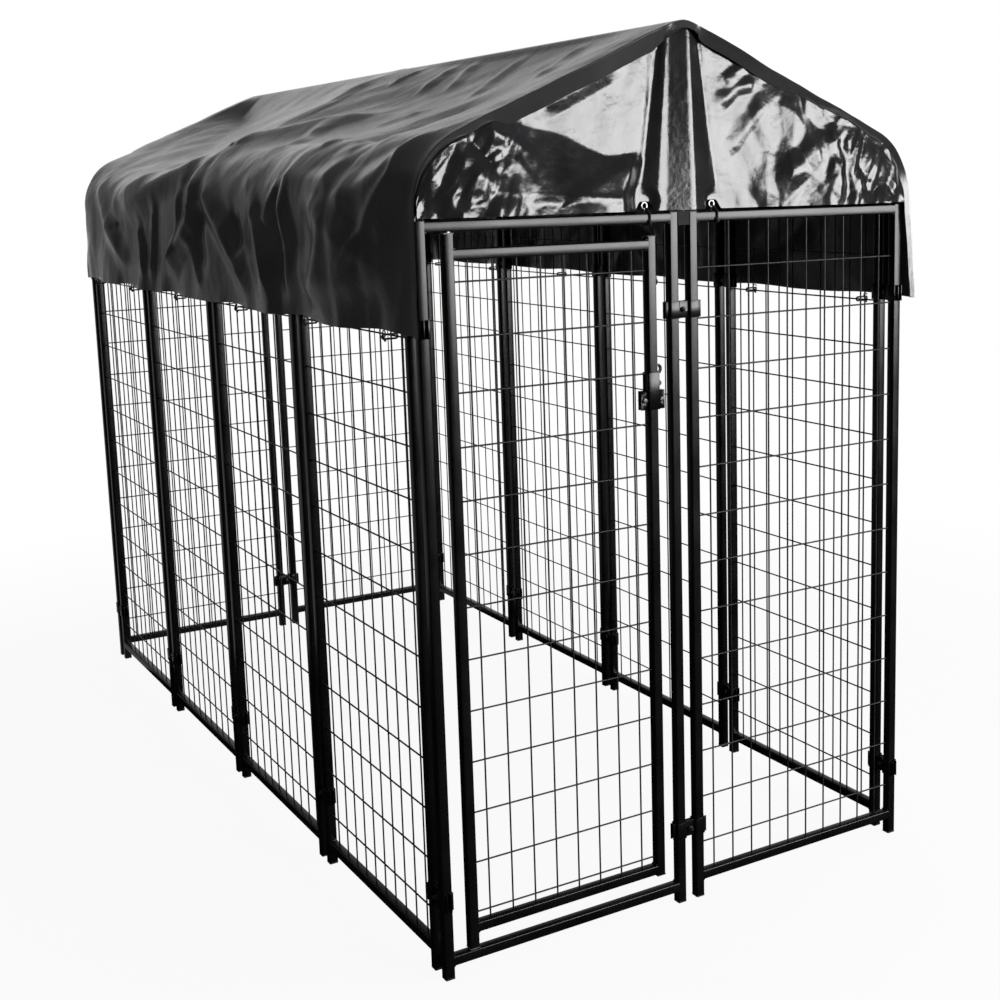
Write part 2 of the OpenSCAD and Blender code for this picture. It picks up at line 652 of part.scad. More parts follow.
// A saddle lies on two post tops, with a tongue between them and a spigot in the king post
module saddle() {
    spigot_d = rafter_d - 2*rafter_wall - 2*socket_fit;
    translate([0, 0, wall_h]) upright(post_pitch + tube, tube, saddle_t);
    translate([0, 0, wall_h - saddle_tongue])
        upright(post_gap - 2*clamp_fit, tube, saddle_tongue);
    translate([0, 0, king_low]) cylinder(d = spigot_d, h = saddle_tongue);
}
module king_post_saddles() { color(zinc) for (s = [-1, 1]) translate([0, s*end_y, 0]) saddle(); }

// A closed sheet from two grids of points, outer first; both are lists of columns of equal length
module sheet(outer, inner) {
    m = len(outer[0]);
    n = len(outer);
    total = m*n;
    points = [for (c = outer) for (p = c) p, for (c = inner) for (p = c) p];
    skin_faces = [for (i = [0:n - 2]) for (j = [0:m - 2]) let(a = i*m + j, b = a + 1, c = a + m, d = c + 1)
        each [[a, b, d], [a, d, c], [total + a, total + d, total + b], [total + a, total + c, total + d]]];
    end_faces = [for (j = [0:m - 2]) let(a = j, b = j + 1, c = (n - 1)*m + j, d = c + 1)
        each [[a, total + b, b], [a, total + a, total + b], [c, d, total + d], [c, total + d, total + c]]];
    side_faces = [for (i = [0:n - 2]) let(a = i*m, c = a + m, b = a + m - 1, d = b + m)
        each [[a, c, total + c], [a, total + c, total + a], [b, total + d, d], [b, total + b, total + d]]];
    polyhedron(points, concat(skin_faces, end_faces, side_faces));
}

// Roof sheet: over the ridge and both shoulders, with a tied and folded valance on each side
module roof_sheet() {
    function grid(d) = [for (c = columns) [for (p = section(d, column_out(c), bow_sag(column_y(c))))
        [p[0], column_y(c), p[1]]]];
    color(fabric) sheet(grid(sheet_t), grid(0));
}

// Gable sheet: hangs inside the roof sheet's edge, stands out over the king post and is wrinkled
tie_flat = eye_r + eye_d/2 + 2;
gable_x = concat([0, 15, 40, gable_tie_x - tie_flat, gable_tie_x, gable_tie_x + tie_flat, 130, 215],
    [for (s = [0.7, 1]) slope_x*s]);
gable_bends = [bend_turn*0.75, bend_turn*0.5, bend_turn*0.25, 8];
gable_half = concat(
    [for (x = gable_x) [x, slope_point(0, -seam_gap)[1] - x*tan(roof_slope)]],
    [for (a = gable_bends) bend_point(a, -seam_gap - 1)]);
gable_n = len(gable_half);
gable_tops = [for (i = [gable_n - 1:-1:1]) [-gable_half[i][0], gable_half[i][1]], for (p = gable_half) p];
gable_rows = 6;
gable_low = wall_h + hem_gap;
tie_ring_y = 8;
loop_up = 5;
loop_r = norm([tube/2, tube/2 + loop_up]) + tie_gap + cord_d/2;
loop_z = wall_h - tube/2 + loop_up;
eye_z = loop_z + sqrt(loop_r*loop_r - tie_ring_y*tie_ring_y) + 0.8;
tie_hem = eye_z + eye_r + eye_d/2 + tie_gap;
gable_y = end_y - tie_ring_y - sheet_t/2;
king_front = end_y + rafter_d/2 + 1;
function gable_hem(x) = abs(abs(x) - gable_tie_x) < tie_flat + 0.01 ? tie_hem : gable_low;
function gable_out(x) = let(a = abs(x)) a < 20 ? king_front : a < 60 ? (king_front + gable_y)/2 : gable_y;
function gable_fold(i, j) = j == 0 || j == gable_rows ? 0 : wrinkle*(0.5 + 0.5*sin(137*i + 211*j));
module gable_sheet() {
    function grid(d) = [for (i = [0:len(gable_tops) - 1]) let(p = gable_tops[i], low = gable_hem(p[0]))
        [for (j = [0:gable_rows]) [p[0], -gable_out(p[0]) - d - gable_fold(i, j), low + (p[1] - low)*j/gable_rows]]];
    color(fabric) sheet(grid(sheet_t), grid(0));
}
module front_gable_sheet() { gable_sheet(); }
module rear_gable_sheet() { rotate(180) gable_sheet(); }

// Hem rings: upright rings under the hem, six on each side and two on each gable
module eye() { rotate_extrude() translate([eye_r, 0]) circle(d = eye_d, $fn = 24); }
module hem_rings() {
    color(zinc) {
        for (sx = [-1, 1], sy = [-1, 1], y = side_ties)
            translate([sx*hem_x, sy*y, tie_z + eye_r]) rotate([0, 90, 0]) eye();
        for (sx = [-1, 1], sy = [-1, 1])
            translate([sx*gable_tie_x, sy*(end_y - tie_ring_y), eye_z]) rotate([90, 0, 0]) eye();
    }
}

// A side loop goes round a level wire and through a hem ring; a gable loop goes round the top rail
module side_loop() {
    r = max(wire_d*sqrt(2), eye_d)/2 + tie_gap + cord_d/2;
    run = hem_x - side_x;
    rotate([90, 0, 0]) {
        rotate([0, 0, 90]) rotate_extrude(angle = 180) translate([r, 0]) circle(d = cord_d, $fn = 24);
        translate([run, 0, 0]) rotate([0, 0, -90])
            rotate_extrude(angle = 180) translate([r, 0]) circle(d = cord_d, $fn = 24);
        for (s = [-1, 1]) translate([0, s*r, 0]) rotate([0, 90, 0]) cylinder(d = cord_d, h = run, $fn = 24);
    }
}
module tie_loops() {
    color(plastic) {
        for (sx = [-1, 1], sy = [-1, 1], y = side_ties)
            translate([sx*side_x, sy*y, tie_z]) rotate(sx > 0 ? 0 : 180) side_loop();
        for (sx = [-1, 1], sy = [-1, 1])
            translate([sx*gable_tie_x, sy*end_y, loop_z]) rotate([0, 90, 0])
                rotate_extrude() translate([loop_r, 0]) circle(d = cord_d, $fn = 24);
    }
}

gate_panel_frame();
front_panel_frame();
rear_panel_frame_left();
rear_panel_frame_right();
left_panel_frame_1();
left_panel_frame_2();
left_panel_frame_3();
left_panel_frame_4();
right_panel_frame_1();
right_panel_frame_2();
right_panel_frame_3();
right_panel_frame_4();
front_panel_mesh();
rear_panel_mesh_left();
rear_panel_mesh_right();
left_panel_mesh_1();
left_panel_mesh_2();
left_panel_mesh_3();
left_panel_mesh_4();
right_panel_mesh_1();
right_panel_mesh_2();
right_panel_mesh_3();
right_panel_mesh_4();
foot_caps();
clamp_outer_halves();
clamp_inner_halves();
clamp_bolts();
clamp_nuts();
gate_frame();
gate_mesh();
gate_pivot_pins();
gate_bushings();
gate_stile_caps();
latch_bracket_front();
latch_bracket_rear();
latch_bolts();
latch_nuts();
latch_lever();
latch_pivot_bolt();
latch_pivot_nut();
front_left_rafter();
front_right_rafter();
middle_left_rafter();
middle_right_rafter();
rear_left_rafter();
rear_right_rafter();
rafter_screws();
ridge_tube_front();
ridge_tube_rear();
ridge_connectors();
front_king_post();
rear_king_post();
king_post_saddles();
roof_sheet();
front_gable_sheet();
rear_gable_sheet();
hem_rings();
tie_loops();
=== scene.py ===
# Outdoor dog kennel run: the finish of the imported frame, in metres, in the frame's own place.
# X is the width, Y the length with the gate at the negative end, Z up from the ground.
import bpy
import bmesh
import math
import numpy as np
from mathutils import Matrix, Vector
from mathutils.geometry import convex_hull_2d


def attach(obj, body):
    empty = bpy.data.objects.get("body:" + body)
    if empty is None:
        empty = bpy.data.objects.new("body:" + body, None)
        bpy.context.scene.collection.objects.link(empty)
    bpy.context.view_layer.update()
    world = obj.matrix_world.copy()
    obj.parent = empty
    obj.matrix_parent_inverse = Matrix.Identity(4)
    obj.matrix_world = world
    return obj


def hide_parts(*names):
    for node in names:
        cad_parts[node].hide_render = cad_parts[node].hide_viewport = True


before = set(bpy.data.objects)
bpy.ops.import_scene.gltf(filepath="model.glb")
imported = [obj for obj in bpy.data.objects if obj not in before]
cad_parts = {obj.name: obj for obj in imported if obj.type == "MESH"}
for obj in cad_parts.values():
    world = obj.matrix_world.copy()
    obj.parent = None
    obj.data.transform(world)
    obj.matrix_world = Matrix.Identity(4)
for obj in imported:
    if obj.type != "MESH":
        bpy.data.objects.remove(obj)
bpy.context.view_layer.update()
scene = bpy.context.scene
scene.view_settings.view_transform = "Standard"

# Camera: a hand-held view from the front left, a little above chest height.
# Its place and turn come from the straight posts and rails of the kennel.
CAMERA_AT = Vector((-1.6855, -3.6035, 1.5129))
CAMERA_YAW = math.radians(31.851)
CAMERA_PITCH = math.radians(-9.271)
CAMERA_ROLL = math.radians(-1.258)


def placed(name, data):
    """A new object in the scene, with its mesh, curve, lamp or lens."""
    made = bpy.data.objects.new(name, data)
    scene.collection.objects.link(made)
    return made


lens = bpy.data.cameras.new("photo_camera")
lens.sensor_width = 36
lens.lens = 52.826
lens.shift_x = -0.10
lens.shift_y = -0.08
lens.clip_end = 60
camera = placed("photo_camera", lens)
ahead = Vector((math.sin(CAMERA_YAW) * math.cos(CAMERA_PITCH),
                math.cos(CAMERA_YAW) * math.cos(CAMERA_PITCH), math.sin(CAMERA_PITCH)))
level = Vector((math.cos(CAMERA_YAW), -math.sin(CAMERA_YAW), 0))
upward = level.cross(ahead)
side_axis = level * math.cos(CAMERA_ROLL) + upward * math.sin(CAMERA_ROLL)
top_axis = upward * math.cos(CAMERA_ROLL) - level * math.sin(CAMERA_ROLL)
turn = Matrix((side_axis, top_axis, -ahead)).transposed()
camera.matrix_world = Matrix.Translation(CAMERA_AT) @ turn.to_4x4()
scene.camera = camera

# Panel frames: twelve welded frames of 20 mm square steel tube, two posts and two rails each.
# The tube has rounded edges, the rails are welded between the posts, and all of it is powder coated black.
TUBE = 0.020
TUBE_ROUND = 0.0026
WALL_H = 1.448
FOOT_H = 0.004
PANEL_W = 0.54575
BAY = 0.59275
SIDE_X = 0.56925
END_Y = 1.209
RAIL_LOW = 0.036
GATE_RAIL_LOW = 0.026
BEAD_R = 0.0028
BEAD_SHORT = 0.003
BEAD_END = 0.001
WELD_LAP = 0.0002


def only(*pieces):
    """Selects these pieces and nothing else, with the first as the active one."""
    bpy.ops.object.select_all(action="DESELECT")
    for piece in pieces:
        piece.select_set(True)
    bpy.context.view_layer.objects.active = pieces[0]


def settled(name):
    """Names the object just added and puts its place, turn and scale into its mesh."""
    piece = bpy.context.object
    piece.name = name
    bpy.ops.object.transform_apply(location=True, rotation=True, scale=True)
    return piece


def pick(piece, choose, kind):
    """Opens piece for editing, with the edges, faces or points selected that choose accepts."""
    only(piece)
    bpy.ops.object.mode_set(mode="EDIT")
    bpy.ops.mesh.select_mode(type=kind)
    bpy.ops.mesh.select_all(action="DESELECT")
    opened = bmesh.from_edit_mesh(piece.data)
    parts = {"EDGE": opened.edges, "FACE": opened.faces, "VERT": opened.verts}[kind]
    for part in parts:
        part.select_set(choose(part))
    opened.select_flush_mode()
    bmesh.update_edit_mesh(piece.data)


def close_edit():
    bpy.ops.object.mode_set(mode="OBJECT")


def reshaped(piece, choose, kind, action, **values):
    """Does one editing step on the edges, faces or points that choose accepts."""
    pick(piece, choose, kind)
    action(**values)
    close_edit()


def bevelled(piece, choose, kind, width, segments):
    """Rounds or chamfers the edges that choose accepts, or those of its faces."""
    reshaped(piece, choose, kind, bpy.ops.mesh.bevel, offset=width, segments=segments, affect="EDGES")


def anything(part):
    return True


def runs_along(axis):
    """Accepts the edges that run along one axis."""
    def test(edge):
        way = edge.verts[1].co - edge.verts[0].co
        return way.length > 1e-6 and abs(way[axis]) > 0.999 * way.length
    return test


def block(name, low, high):
    """A box between two corners, with its place in its mesh."""
    low, high = Vector(low), Vector(high)
    bpy.ops.mesh.primitive_cube_add(size=1, location=(low + high) / 2)
    bpy.context.object.scale = high - low
    return settled(name)


def finish_with(piece, kind, **values):
    """Adds one modifier with its values and applies it."""
    only(piece)
    change = piece.modifiers.new(kind, kind)
    for key, value in values.items():
        setattr(change, key, value)
    bpy.ops.object.modifier_apply(modifier=change.name)


def square_tube(name, low, high, axis):
    """A length of square tube with its four long edges rounded."""
    piece = block(name, low, high)
    bevelled(piece, runs_along(axis), "EDGE", TUBE_ROUND, 3)
    return piece


def bar_along_y(name, sides, radius, low, high, x=0, z=0):
    """A round or many-sided bar along Y between two places."""
    bpy.ops.mesh.primitive_cylinder_add(vertices=sides, radius=radius, depth=high - low,
                                        location=(x, (low + high) / 2, z), rotation=(math.pi / 2, 0, 0))
    return settled(name)


def weld_bead(x, z):
    """A short rounded bead across the tube, laid into an inner corner."""
    reach = (TUBE - BEAD_SHORT) / 2
    bead = bar_along_y("bead", 10, BEAD_R, -reach, reach, x, z)
    bevelled(bead, lambda face: abs(face.normal.y) > 0.9, "FACE", BEAD_END, 2)
    return bead


def joined(name, parts):
    """Several pieces made into one."""
    only(*parts)
    bpy.ops.object.join()
    parts[0].name = name
    parts[0].data.name = name
    return parts[0]


def soften_shading(piece, degrees=35):
    only(piece)
    bpy.ops.object.shade_smooth_by_angle(angle=math.radians(degrees))


def copied(piece, name, place):
    """A copy of piece with its own mesh, moved there by a matrix."""
    twin = placed(name, piece.data.copy())
    twin.data.name = name
    twin.data.transform(place)
    return twin


def thrown_away(piece):
    bpy.data.objects.remove(piece, do_unlink=True)


def fitted(piece, body, slot, material, *nodes):
    """Gives a piece its finish and its body, and hides the solids that it stands for; the slot is not used.
    """
    piece.data.materials.clear()
    piece.data.materials.append(material)
    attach(piece, body)
    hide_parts(*nodes)


def fed(tree, node, inputs):
    """Gives each named input of a node its value, or a link from another node's outlet."""
    for key, value in inputs.items():
        if isinstance(value, bpy.types.NodeSocket):
            tree.links.new(value, node.inputs[key])
        else:
            node.inputs[key].default_value = value
    return node


def added(tree, kind, inputs, **settings):
    """A new node in a tree, with its settings and its inputs."""
    node = tree.nodes.new(kind)
    for key, value in settings.items():
        setattr(node, key, value)
    return fed(tree, node, inputs)


def new_group(name, inputs, outputs):
    """An empty shader group, with the outlets of its inputs and the node of its outputs."""
    group = bpy.data.node_groups.new(name, "ShaderNodeTree")
    for label, value in inputs:
        kind = "NodeSocketVector" if value is None else "NodeSocketFloat"
        socket = group.interface.new_socket(name=label, in_out="INPUT", socket_type=kind)
        if value is not None:
            socket.default_value = value
    for label in outputs:
        group.interface.new_socket(name=label, in_out="OUTPUT", socket_type="NodeSocketFloat")
    return group, group.nodes.new("NodeGroupInput").outputs, group.nodes.new("NodeGroupOutput")


def graded(tree, source, low, high, lowest=0.0, highest=1.0):
    """A value carried from lowest..highest to low..high."""
    return added(tree, "ShaderNodeMapRange", {"Value": source, "From Min": lowest, "From Max": highest,
                                              "To Min": low, "To Max": high}).outputs["Result"]


def noise(tree, place, scale, detail):
    """Cloudy noise over a place."""
    inputs = {"Vector": place, "Scale": scale, "Detail": detail}
    return added(tree, "ShaderNodeTexNoise", inputs).outputs["Fac"]


# Grain of a sprayed or moulded surface: cloudy patches for colour and gloss, and fine pimples for the bump
grain_group, grain_in, grain_out = new_group(
    "surface_grain", [("Place", None), ("Cloud Scale", 6.0), ("Pimple Scale", 700.0)], ["Cloud", "Pimples"])
clouds = noise(grain_group, grain_in["Place"], grain_in["Cloud Scale"], 4)
pimples = noise(grain_group, grain_in["Place"], grain_in["Pimple Scale"], 2)
fed(grain_group, grain_out, {"Cloud": graded(grain_group, clouds, 0.0, 1.0, 0.3, 0.7), "Pimples": pimples})


def two_tone(tree, factor, dark, light):
    """A colour between dark and light, by factor."""
    inputs = {"Factor": factor, "A": (*dark, 1), "B": (*light, 1)}
    return added(tree, "ShaderNodeMix", inputs, data_type="RGBA").outputs["Result"]


def raised(tree, height, strength, depth, **under):
    """A bump from a height value, laid over another bump where one is given as Normal."""
    inputs = {"Strength": strength, "Distance": depth, "Height": height}
    return added(tree, "ShaderNodeBump", {**inputs, **under}).outputs["Normal"]


def new_finish(name):
    """A new material and its node tree."""
    material = bpy.data.materials.new(name)
    material.use_nodes = True
    return material, material.node_tree


def shaded(tree, inputs):
    """Feeds the main shader of a material."""
    fed(tree, tree.nodes["Principled BSDF"], inputs)


def grained_finish(name, dark, light, rough_low, rough_high, gloss, cloud, pimple, depth, metal=0.0):
    """A finish with cloudy colour and gloss and a fine pimpled bump."""
    material, tree = new_finish(name)
    place = tree.nodes.new("ShaderNodeTexCoord").outputs["Object"]
    scales = {"Place": place, "Cloud Scale": cloud, "Pimple Scale": pimple}
    grain = added(tree, "ShaderNodeGroup", scales, node_tree=grain_group).outputs
    shaded(tree, {
        "Base Color": two_tone(tree, grain["Cloud"], dark, light),
        "Roughness": graded(tree, grain["Cloud"], rough_low, rough_high),
        "Normal": raised(tree, grain["Pimples"], 0.25, depth),
        "Specular IOR Level": gloss, "Metallic": metal})
    return material


powder_coat = grained_finish("black_powder_coat", (0.0016, 0.0016, 0.0018), (0.0034, 0.0034, 0.0036),
                             0.20, 0.28, 0.20, 9, 900, 0.00025)


def welded_frame(name, posts, rails, bead_levels):
    """Two upright tubes, each an x and its two ends, with rails welded between them."""
    half = TUBE / 2
    parts = [square_tube(name, (x - half, -half, low), (x + half, half, high), 2) for x, low, high in posts]
    first, last = posts[0][0], posts[1][0]
    reach = half - TUBE_ROUND + WELD_LAP
    for z in rails:
        parts.append(square_tube("rail", (first + reach, -half, z), (last - reach, half, z + TUBE), 0))
    for x in (first + half + WELD_LAP, last - half - WELD_LAP):
        for z in bead_levels:
            parts.append(weld_bead(x, z))
    piece = joined(name, parts)
    soften_shading(piece)
    return piece


def panel_frame(name, low):
    """One panel frame in its wall's own place: X along the wall from the first post, -Y outwards."""
    posts = [(x, FOOT_H, WALL_H) for x in (0, PANEL_W)]
    return welded_frame(name, posts, (low, WALL_H - TUBE), (low, low + TUBE, WALL_H - TUBE))


def on_wall(wall):
    """The place of a wall's own frame."""
    spot, angle = {"front": ((0, -END_Y), 0), "rear": ((0, END_Y), 180),
                   "left": ((-SIDE_X, 0), -90), "right": ((SIDE_X, 0), 90)}[wall]
    return Matrix.Translation((*spot, 0)) @ Matrix.Rotation(math.radians(angle), 4, "Z")


def panel_place(wall, k):
    """The place of panel k on a wall, counted along the wall's own X."""
    count = 2 if wall in ("front", "rear") else 4
    start = -(count * PANEL_W + (count - 1) * (BAY - PANEL_W)) / 2 + k * BAY
    return on_wall(wall) @ Matrix.Translation((start, 0, 0))


mesh_panels = [("front_panel", "", "front", 1), ("rear_panel", "_left", "rear", 1),
               ("rear_panel", "_right", "rear", 0)]
mesh_panels += [("left_panel", "_%d" % (4 - k), "left", k) for k in (3, 2, 1, 0)]
mesh_panels += [("right_panel", "_%d" % (k + 1), "right", k) for k in (0, 1, 2, 3)]


def in_all_panels(pattern, shown, solid, slot, finish):
    """A copy of a pattern in each panel that has a mesh; the pattern goes."""
    for word, tail, wall, k in mesh_panels:
        made = copied(pattern, word + shown + tail, panel_place(wall, k))
        fitted(made, "kennel", slot, finish, word + solid + tail)
    thrown_away(pattern)


in_all_panels(panel_frame("frame_pattern", RAIL_LOW), "_tubes", "_frame", "coated_steel", powder_coat)
gate_surround = panel_frame("gate_panel_tubes", GATE_RAIL_LOW)
gate_surround.data.transform(panel_place("front", 0))
fitted(gate_surround, "kennel", "coated_steel", powder_coat, "gate_panel_frame")

# Wire meshes: a welded grid of 3.5 mm wire in each panel, uprights 2 inches and level wires 4 inches apart.
# The uprights lie inside the level wires, and the grid is welded into the frame and coated with it.
WIRE_R = 0.00175
WIRE_PITCH = 0.0508
WIRE_RISE = 0.1016
WIRE_FIRST = 0.118
UPRIGHT_Y = 0.0022
WIRE_BURIED = 0.0012
WIRE_END_IN = 0.0004
WIRE_END_OUT = 0.0003
wire_coat = grained_finish("coated_wire", (0.006, 0.006, 0.0065), (0.014, 0.014, 0.0145),
                           0.32, 0.45, 0.22, 14, 1200, 0.0002)


def turned_to(at, way, axis):
    """The place at a point, with one of its own axes turned along a way."""
    return Matrix.Translation(at) @ way.to_track_quat(axis, "Y").to_matrix().to_4x4()


def wire(start, end):
    """A straight round wire with chamfered ends between two points."""
    start, end = Vector(start), Vector(end)
    way = end - start
    bpy.ops.mesh.primitive_cylinder_add(vertices=8, radius=WIRE_R, depth=way.length)
    piece = bpy.context.object
    reshaped(piece, lambda face: abs(face.normal.z) > 0.9, "FACE", bpy.ops.mesh.inset,
             thickness=WIRE_END_IN, depth=WIRE_END_OUT)
    piece.data.transform(turned_to((start + end) / 2, way, "Z"))
    return piece


def wire_grid(name, width, low, high):
    """A grid of wires between x = 0 and x = width, with its level wires on y = 0."""
    count = int(width / WIRE_PITCH)
    edge = (width - (count - 1) * WIRE_PITCH) / 2
    upright = wire((edge, UPRIGHT_Y, low - WIRE_BURIED), (edge, UPRIGHT_Y, high + WIRE_BURIED))
    parts = [upright]
    for i in range(1, count):
        parts.append(copied(upright, "upright", Matrix.Translation((i * WIRE_PITCH, 0, 0))))
    cross = wire((-WIRE_BURIED, 0, WIRE_FIRST), (width + WIRE_BURIED, 0, WIRE_FIRST))
    parts.append(cross)
    rows = int((high - WIRE_R - WIRE_FIRST) / WIRE_RISE)
    for i in range(1, rows + 1):
        parts.append(copied(cross, "cross", Matrix.Translation((0, 0, i * WIRE_RISE))))
    piece = joined(name, parts)
    soften_shading(piece, 50)
    return piece


grid_pattern = wire_grid("grid_pattern", PANEL_W - TUBE, RAIL_LOW + TUBE, WALL_H - TUBE)
grid_pattern.data.transform(Matrix.Translation((TUBE / 2, 0, 0)))
in_all_panels(grid_pattern, "_wires", "_mesh", "mesh_wire", wire_coat)

# Foot caps: black moulded plastic, one in the lower end of each post.
# A chamfered sole stands on the ground and a plug is pushed up into the tube.
black_plastic = grained_finish("moulded_plastic", (0.010, 0.010, 0.010), (0.018, 0.018, 0.018),
                               0.48, 0.6, 0.3, 20, 1500, 0.0003)
CAP_ROUND = 0.002
SOLE_CHAMFER = 0.0007
PLUG_INSET = 0.0014
PLUG_H = 0.014
half = TUBE / 2
cap = block("cap_pattern", (-half, -half, 0), (half, half, FOOT_H))
bevelled(cap, runs_along(2), "EDGE", CAP_ROUND, 3)
bevelled(cap, lambda face: face.normal.z < -0.9, "FACE", SOLE_CHAMFER, 2)
pick(cap, lambda face: face.normal.z > 0.9, "FACE")
bpy.ops.mesh.inset(thickness=PLUG_INSET)
bpy.ops.mesh.extrude_region_move(TRANSFORM_OT_translate={"value": (0, 0, PLUG_H)})
close_edit()
post_feet = []
for wall, count in (("front", 2), ("rear", 2), ("left", 4), ("right", 4)):
    for k in range(count):
        for x in (0, PANEL_W):
            post_feet.append(panel_place(wall, k) @ Matrix.Translation((x, 0, 0)))


def many(name, pattern, places):
    """Copies of one pattern at all the places, as one piece; the pattern goes."""
    piece = joined(name, [copied(pattern, name, place) for place in places])
    thrown_away(pattern)
    return piece


cap_set = many("post_foot_caps", cap, post_feet)
soften_shading(cap_set)
fitted(cap_set, "kennel", "black_plastic", black_plastic, "foot_caps")

# Post clamps: two halves of bent 2 mm sheet that hug two posts, an upper and a lower pair at every joint.
# A sunk web lies between the posts, and one bolt through it pulls the halves together.
CLAMP_H = 0.034
CLAMP_T = 0.002
CLAMP_LOW = 0.160
CLAMP_HIGH = 1.256
WEB_Y = 0.0045
GRIP_Y = 0.01115
GRIP_NEAR = 0.0124
GRIP_FAR = 0.0346
CLAMP_END = 0.0426
CLAMP_BEND_R = 0.0022
CLAMP_EASE = 0.0004
clamp_bends = [(-GRIP_FAR, -WEB_Y), (-GRIP_FAR, -GRIP_Y), (-GRIP_NEAR, -GRIP_Y), (-GRIP_NEAR, -WEB_Y),
               (GRIP_NEAR, -WEB_Y), (GRIP_NEAR, -GRIP_Y), (GRIP_FAR, -GRIP_Y), (GRIP_FAR, -WEB_Y),
               (CLAMP_END, -WEB_Y)]


def bent_strip(name, start, bends, low, high, thick, radius):
    """A strip of sheet that stands upright and is bent along its plan; start is the plan's first point."""
    bpy.ops.mesh.primitive_plane_add(size=1)
    piece = bpy.context.object
    piece.name = name
    first = Vector((*start, 0))
    second = Vector((*bends[0], 0))
    for point in piece.data.vertices:
        at = first if point.co.x < 0 else second
        point.co = (at.x, at.y, low if point.co.y < 0 else high)
    here = second
    for bend in bends[1:]:
        there = Vector((*bend, 0))
        reshaped(piece, lambda edge: all((v.co.xy - here.xy).length < 1e-6 for v in edge.verts), "EDGE",
                 bpy.ops.mesh.extrude_region_move, TRANSFORM_OT_translate={"value": there - here})
        here = there
    inner = [Vector(bend) for bend in bends[:-1]]

    def at_bend(edge):
        """Accepts the upright edges on the inner points of the plan."""
        on_points = all(any((v.co.xy - bend).length < 1e-6 for bend in inner) for v in edge.verts)
        return on_points and abs(edge.verts[0].co.z - edge.verts[1].co.z) > 1e-4

    bevelled(piece, at_bend, "EDGE", radius, 3)
    reshaped(piece, anything, "FACE", bpy.ops.mesh.normals_make_consistent, inside=False)
    finish_with(piece, "SOLIDIFY", thickness=thick, offset=0)
    finish_with(piece, "BEVEL", width=CLAMP_EASE, segments=2, limit_method="ANGLE",
                angle_limit=math.radians(50))
    reshaped(piece, anything, "FACE", bpy.ops.mesh.normals_make_consistent, inside=False)
    soften_shading(piece)
    return piece


clamp_places = []
for z in (CLAMP_LOW, CLAMP_HIGH):
    for wall, spots in (("front", [0]), ("rear", [0]), ("left", range(-2, 3)), ("right", range(-2, 3))):
        for spot in spots:
            clamp_places.append(on_wall(wall) @ Matrix.Translation((spot * BAY, 0, z)))
clamp = bent_strip("clamp_pattern", (-CLAMP_END, -WEB_Y), clamp_bends, -CLAMP_H / 2, CLAMP_H / 2, CLAMP_T,
                   CLAMP_BEND_R)
about_face = Matrix.Rotation(math.pi, 4, "Z")
inner_clamp = copied(clamp, "inner_pattern", about_face)
outer_set = many("post_clamps_outer", clamp, clamp_places)
fitted(outer_set, "kennel", "coated_steel", powder_coat, "clamp_outer_halves")
inner_set = many("post_clamps_inner", inner_clamp, clamp_places)
fitted(inner_set, "kennel", "coated_steel", powder_coat, "clamp_inner_halves")

# Clamp bolts and nuts: M6 zinc-plated steel, with the head inside the kennel and the nut outside.
# Some thread stands out past each nut.
BOLT_R = 0.003
HEX_R = 0.010 / 2 / math.cos(math.radians(30))
HEAD_H = 0.004
NUT_H = 0.005
THREAD_OVER = 0.005
THREAD_PITCH = 0.001
THREAD_ROOT = 0.84
THREAD_END = 0.0006
THREAD_LAP = 0.0004
HEX_CHAMFER = 0.0006
BOLT_SLACK = 0.0001
SEAT_GAP = 0.00005
WEB_FACE = WEB_Y + CLAMP_T / 2 + SEAT_GAP
black_zinc = grained_finish("black_zinc_plate", (0.02, 0.02, 0.021), (0.05, 0.05, 0.052),
                            0.3, 0.45, 0.5, 60, 1400, 0.0002, 0.6)


def hexagon(name, low, high):
    """A hexagon along Y between two places, with both ends chamfered."""
    piece = bar_along_y(name, 6, HEX_R, low, high)
    bevelled(piece, lambda edge: abs(edge.verts[0].co.y - edge.verts[1].co.y) < 1e-6, "EDGE",
             HEX_CHAMFER, 2)
    return piece


def threaded_bar(name, low, high, thread_from, thread_to):
    """A round bar along Y with rings for its thread between two places."""
    piece = bar_along_y(name, 16, BOLT_R - BOLT_SLACK, low, high)
    turns = max(1, round(abs(thread_to - thread_from) / THREAD_PITCH))
    cuts = [thread_from + (thread_to - thread_from) * i / (2 * turns) for i in range(2 * turns + 1)]
    for cut in cuts:
        reshaped(piece, anything, "FACE", bpy.ops.mesh.bisect, plane_co=(0, cut, 0), plane_no=(0, 1, 0))
    for cut in cuts[1::2]:
        reshaped(piece, lambda point: abs(point.co.y - cut) < 1e-5, "VERT", bpy.ops.transform.resize,
                 value=(THREAD_ROOT, 1, THREAD_ROOT), center_override=(0, cut, 0))
    return piece


nut_face = -WEB_FACE - NUT_H
web_nut = hexagon("nut_pattern", nut_face, -WEB_FACE)
web_head = hexagon("head", WEB_FACE, WEB_FACE + HEAD_H)
web_bar = threaded_bar("bar", nut_face - THREAD_OVER, WEB_FACE + HEAD_H / 4,
                       nut_face - THREAD_OVER + THREAD_END, nut_face + THREAD_LAP)
web_bolt = joined("bolt_pattern", [web_head, web_bar])
bolt_set = many("post_clamp_bolts", web_bolt, clamp_places)
nut_set = many("post_clamp_nuts", web_nut, clamp_places)
for made, node in ((bolt_set, "clamp_bolts"), (nut_set, "clamp_nuts")):
    soften_shading(made)
    fitted(made, "kennel", "zinc_steel", black_zinc, node)

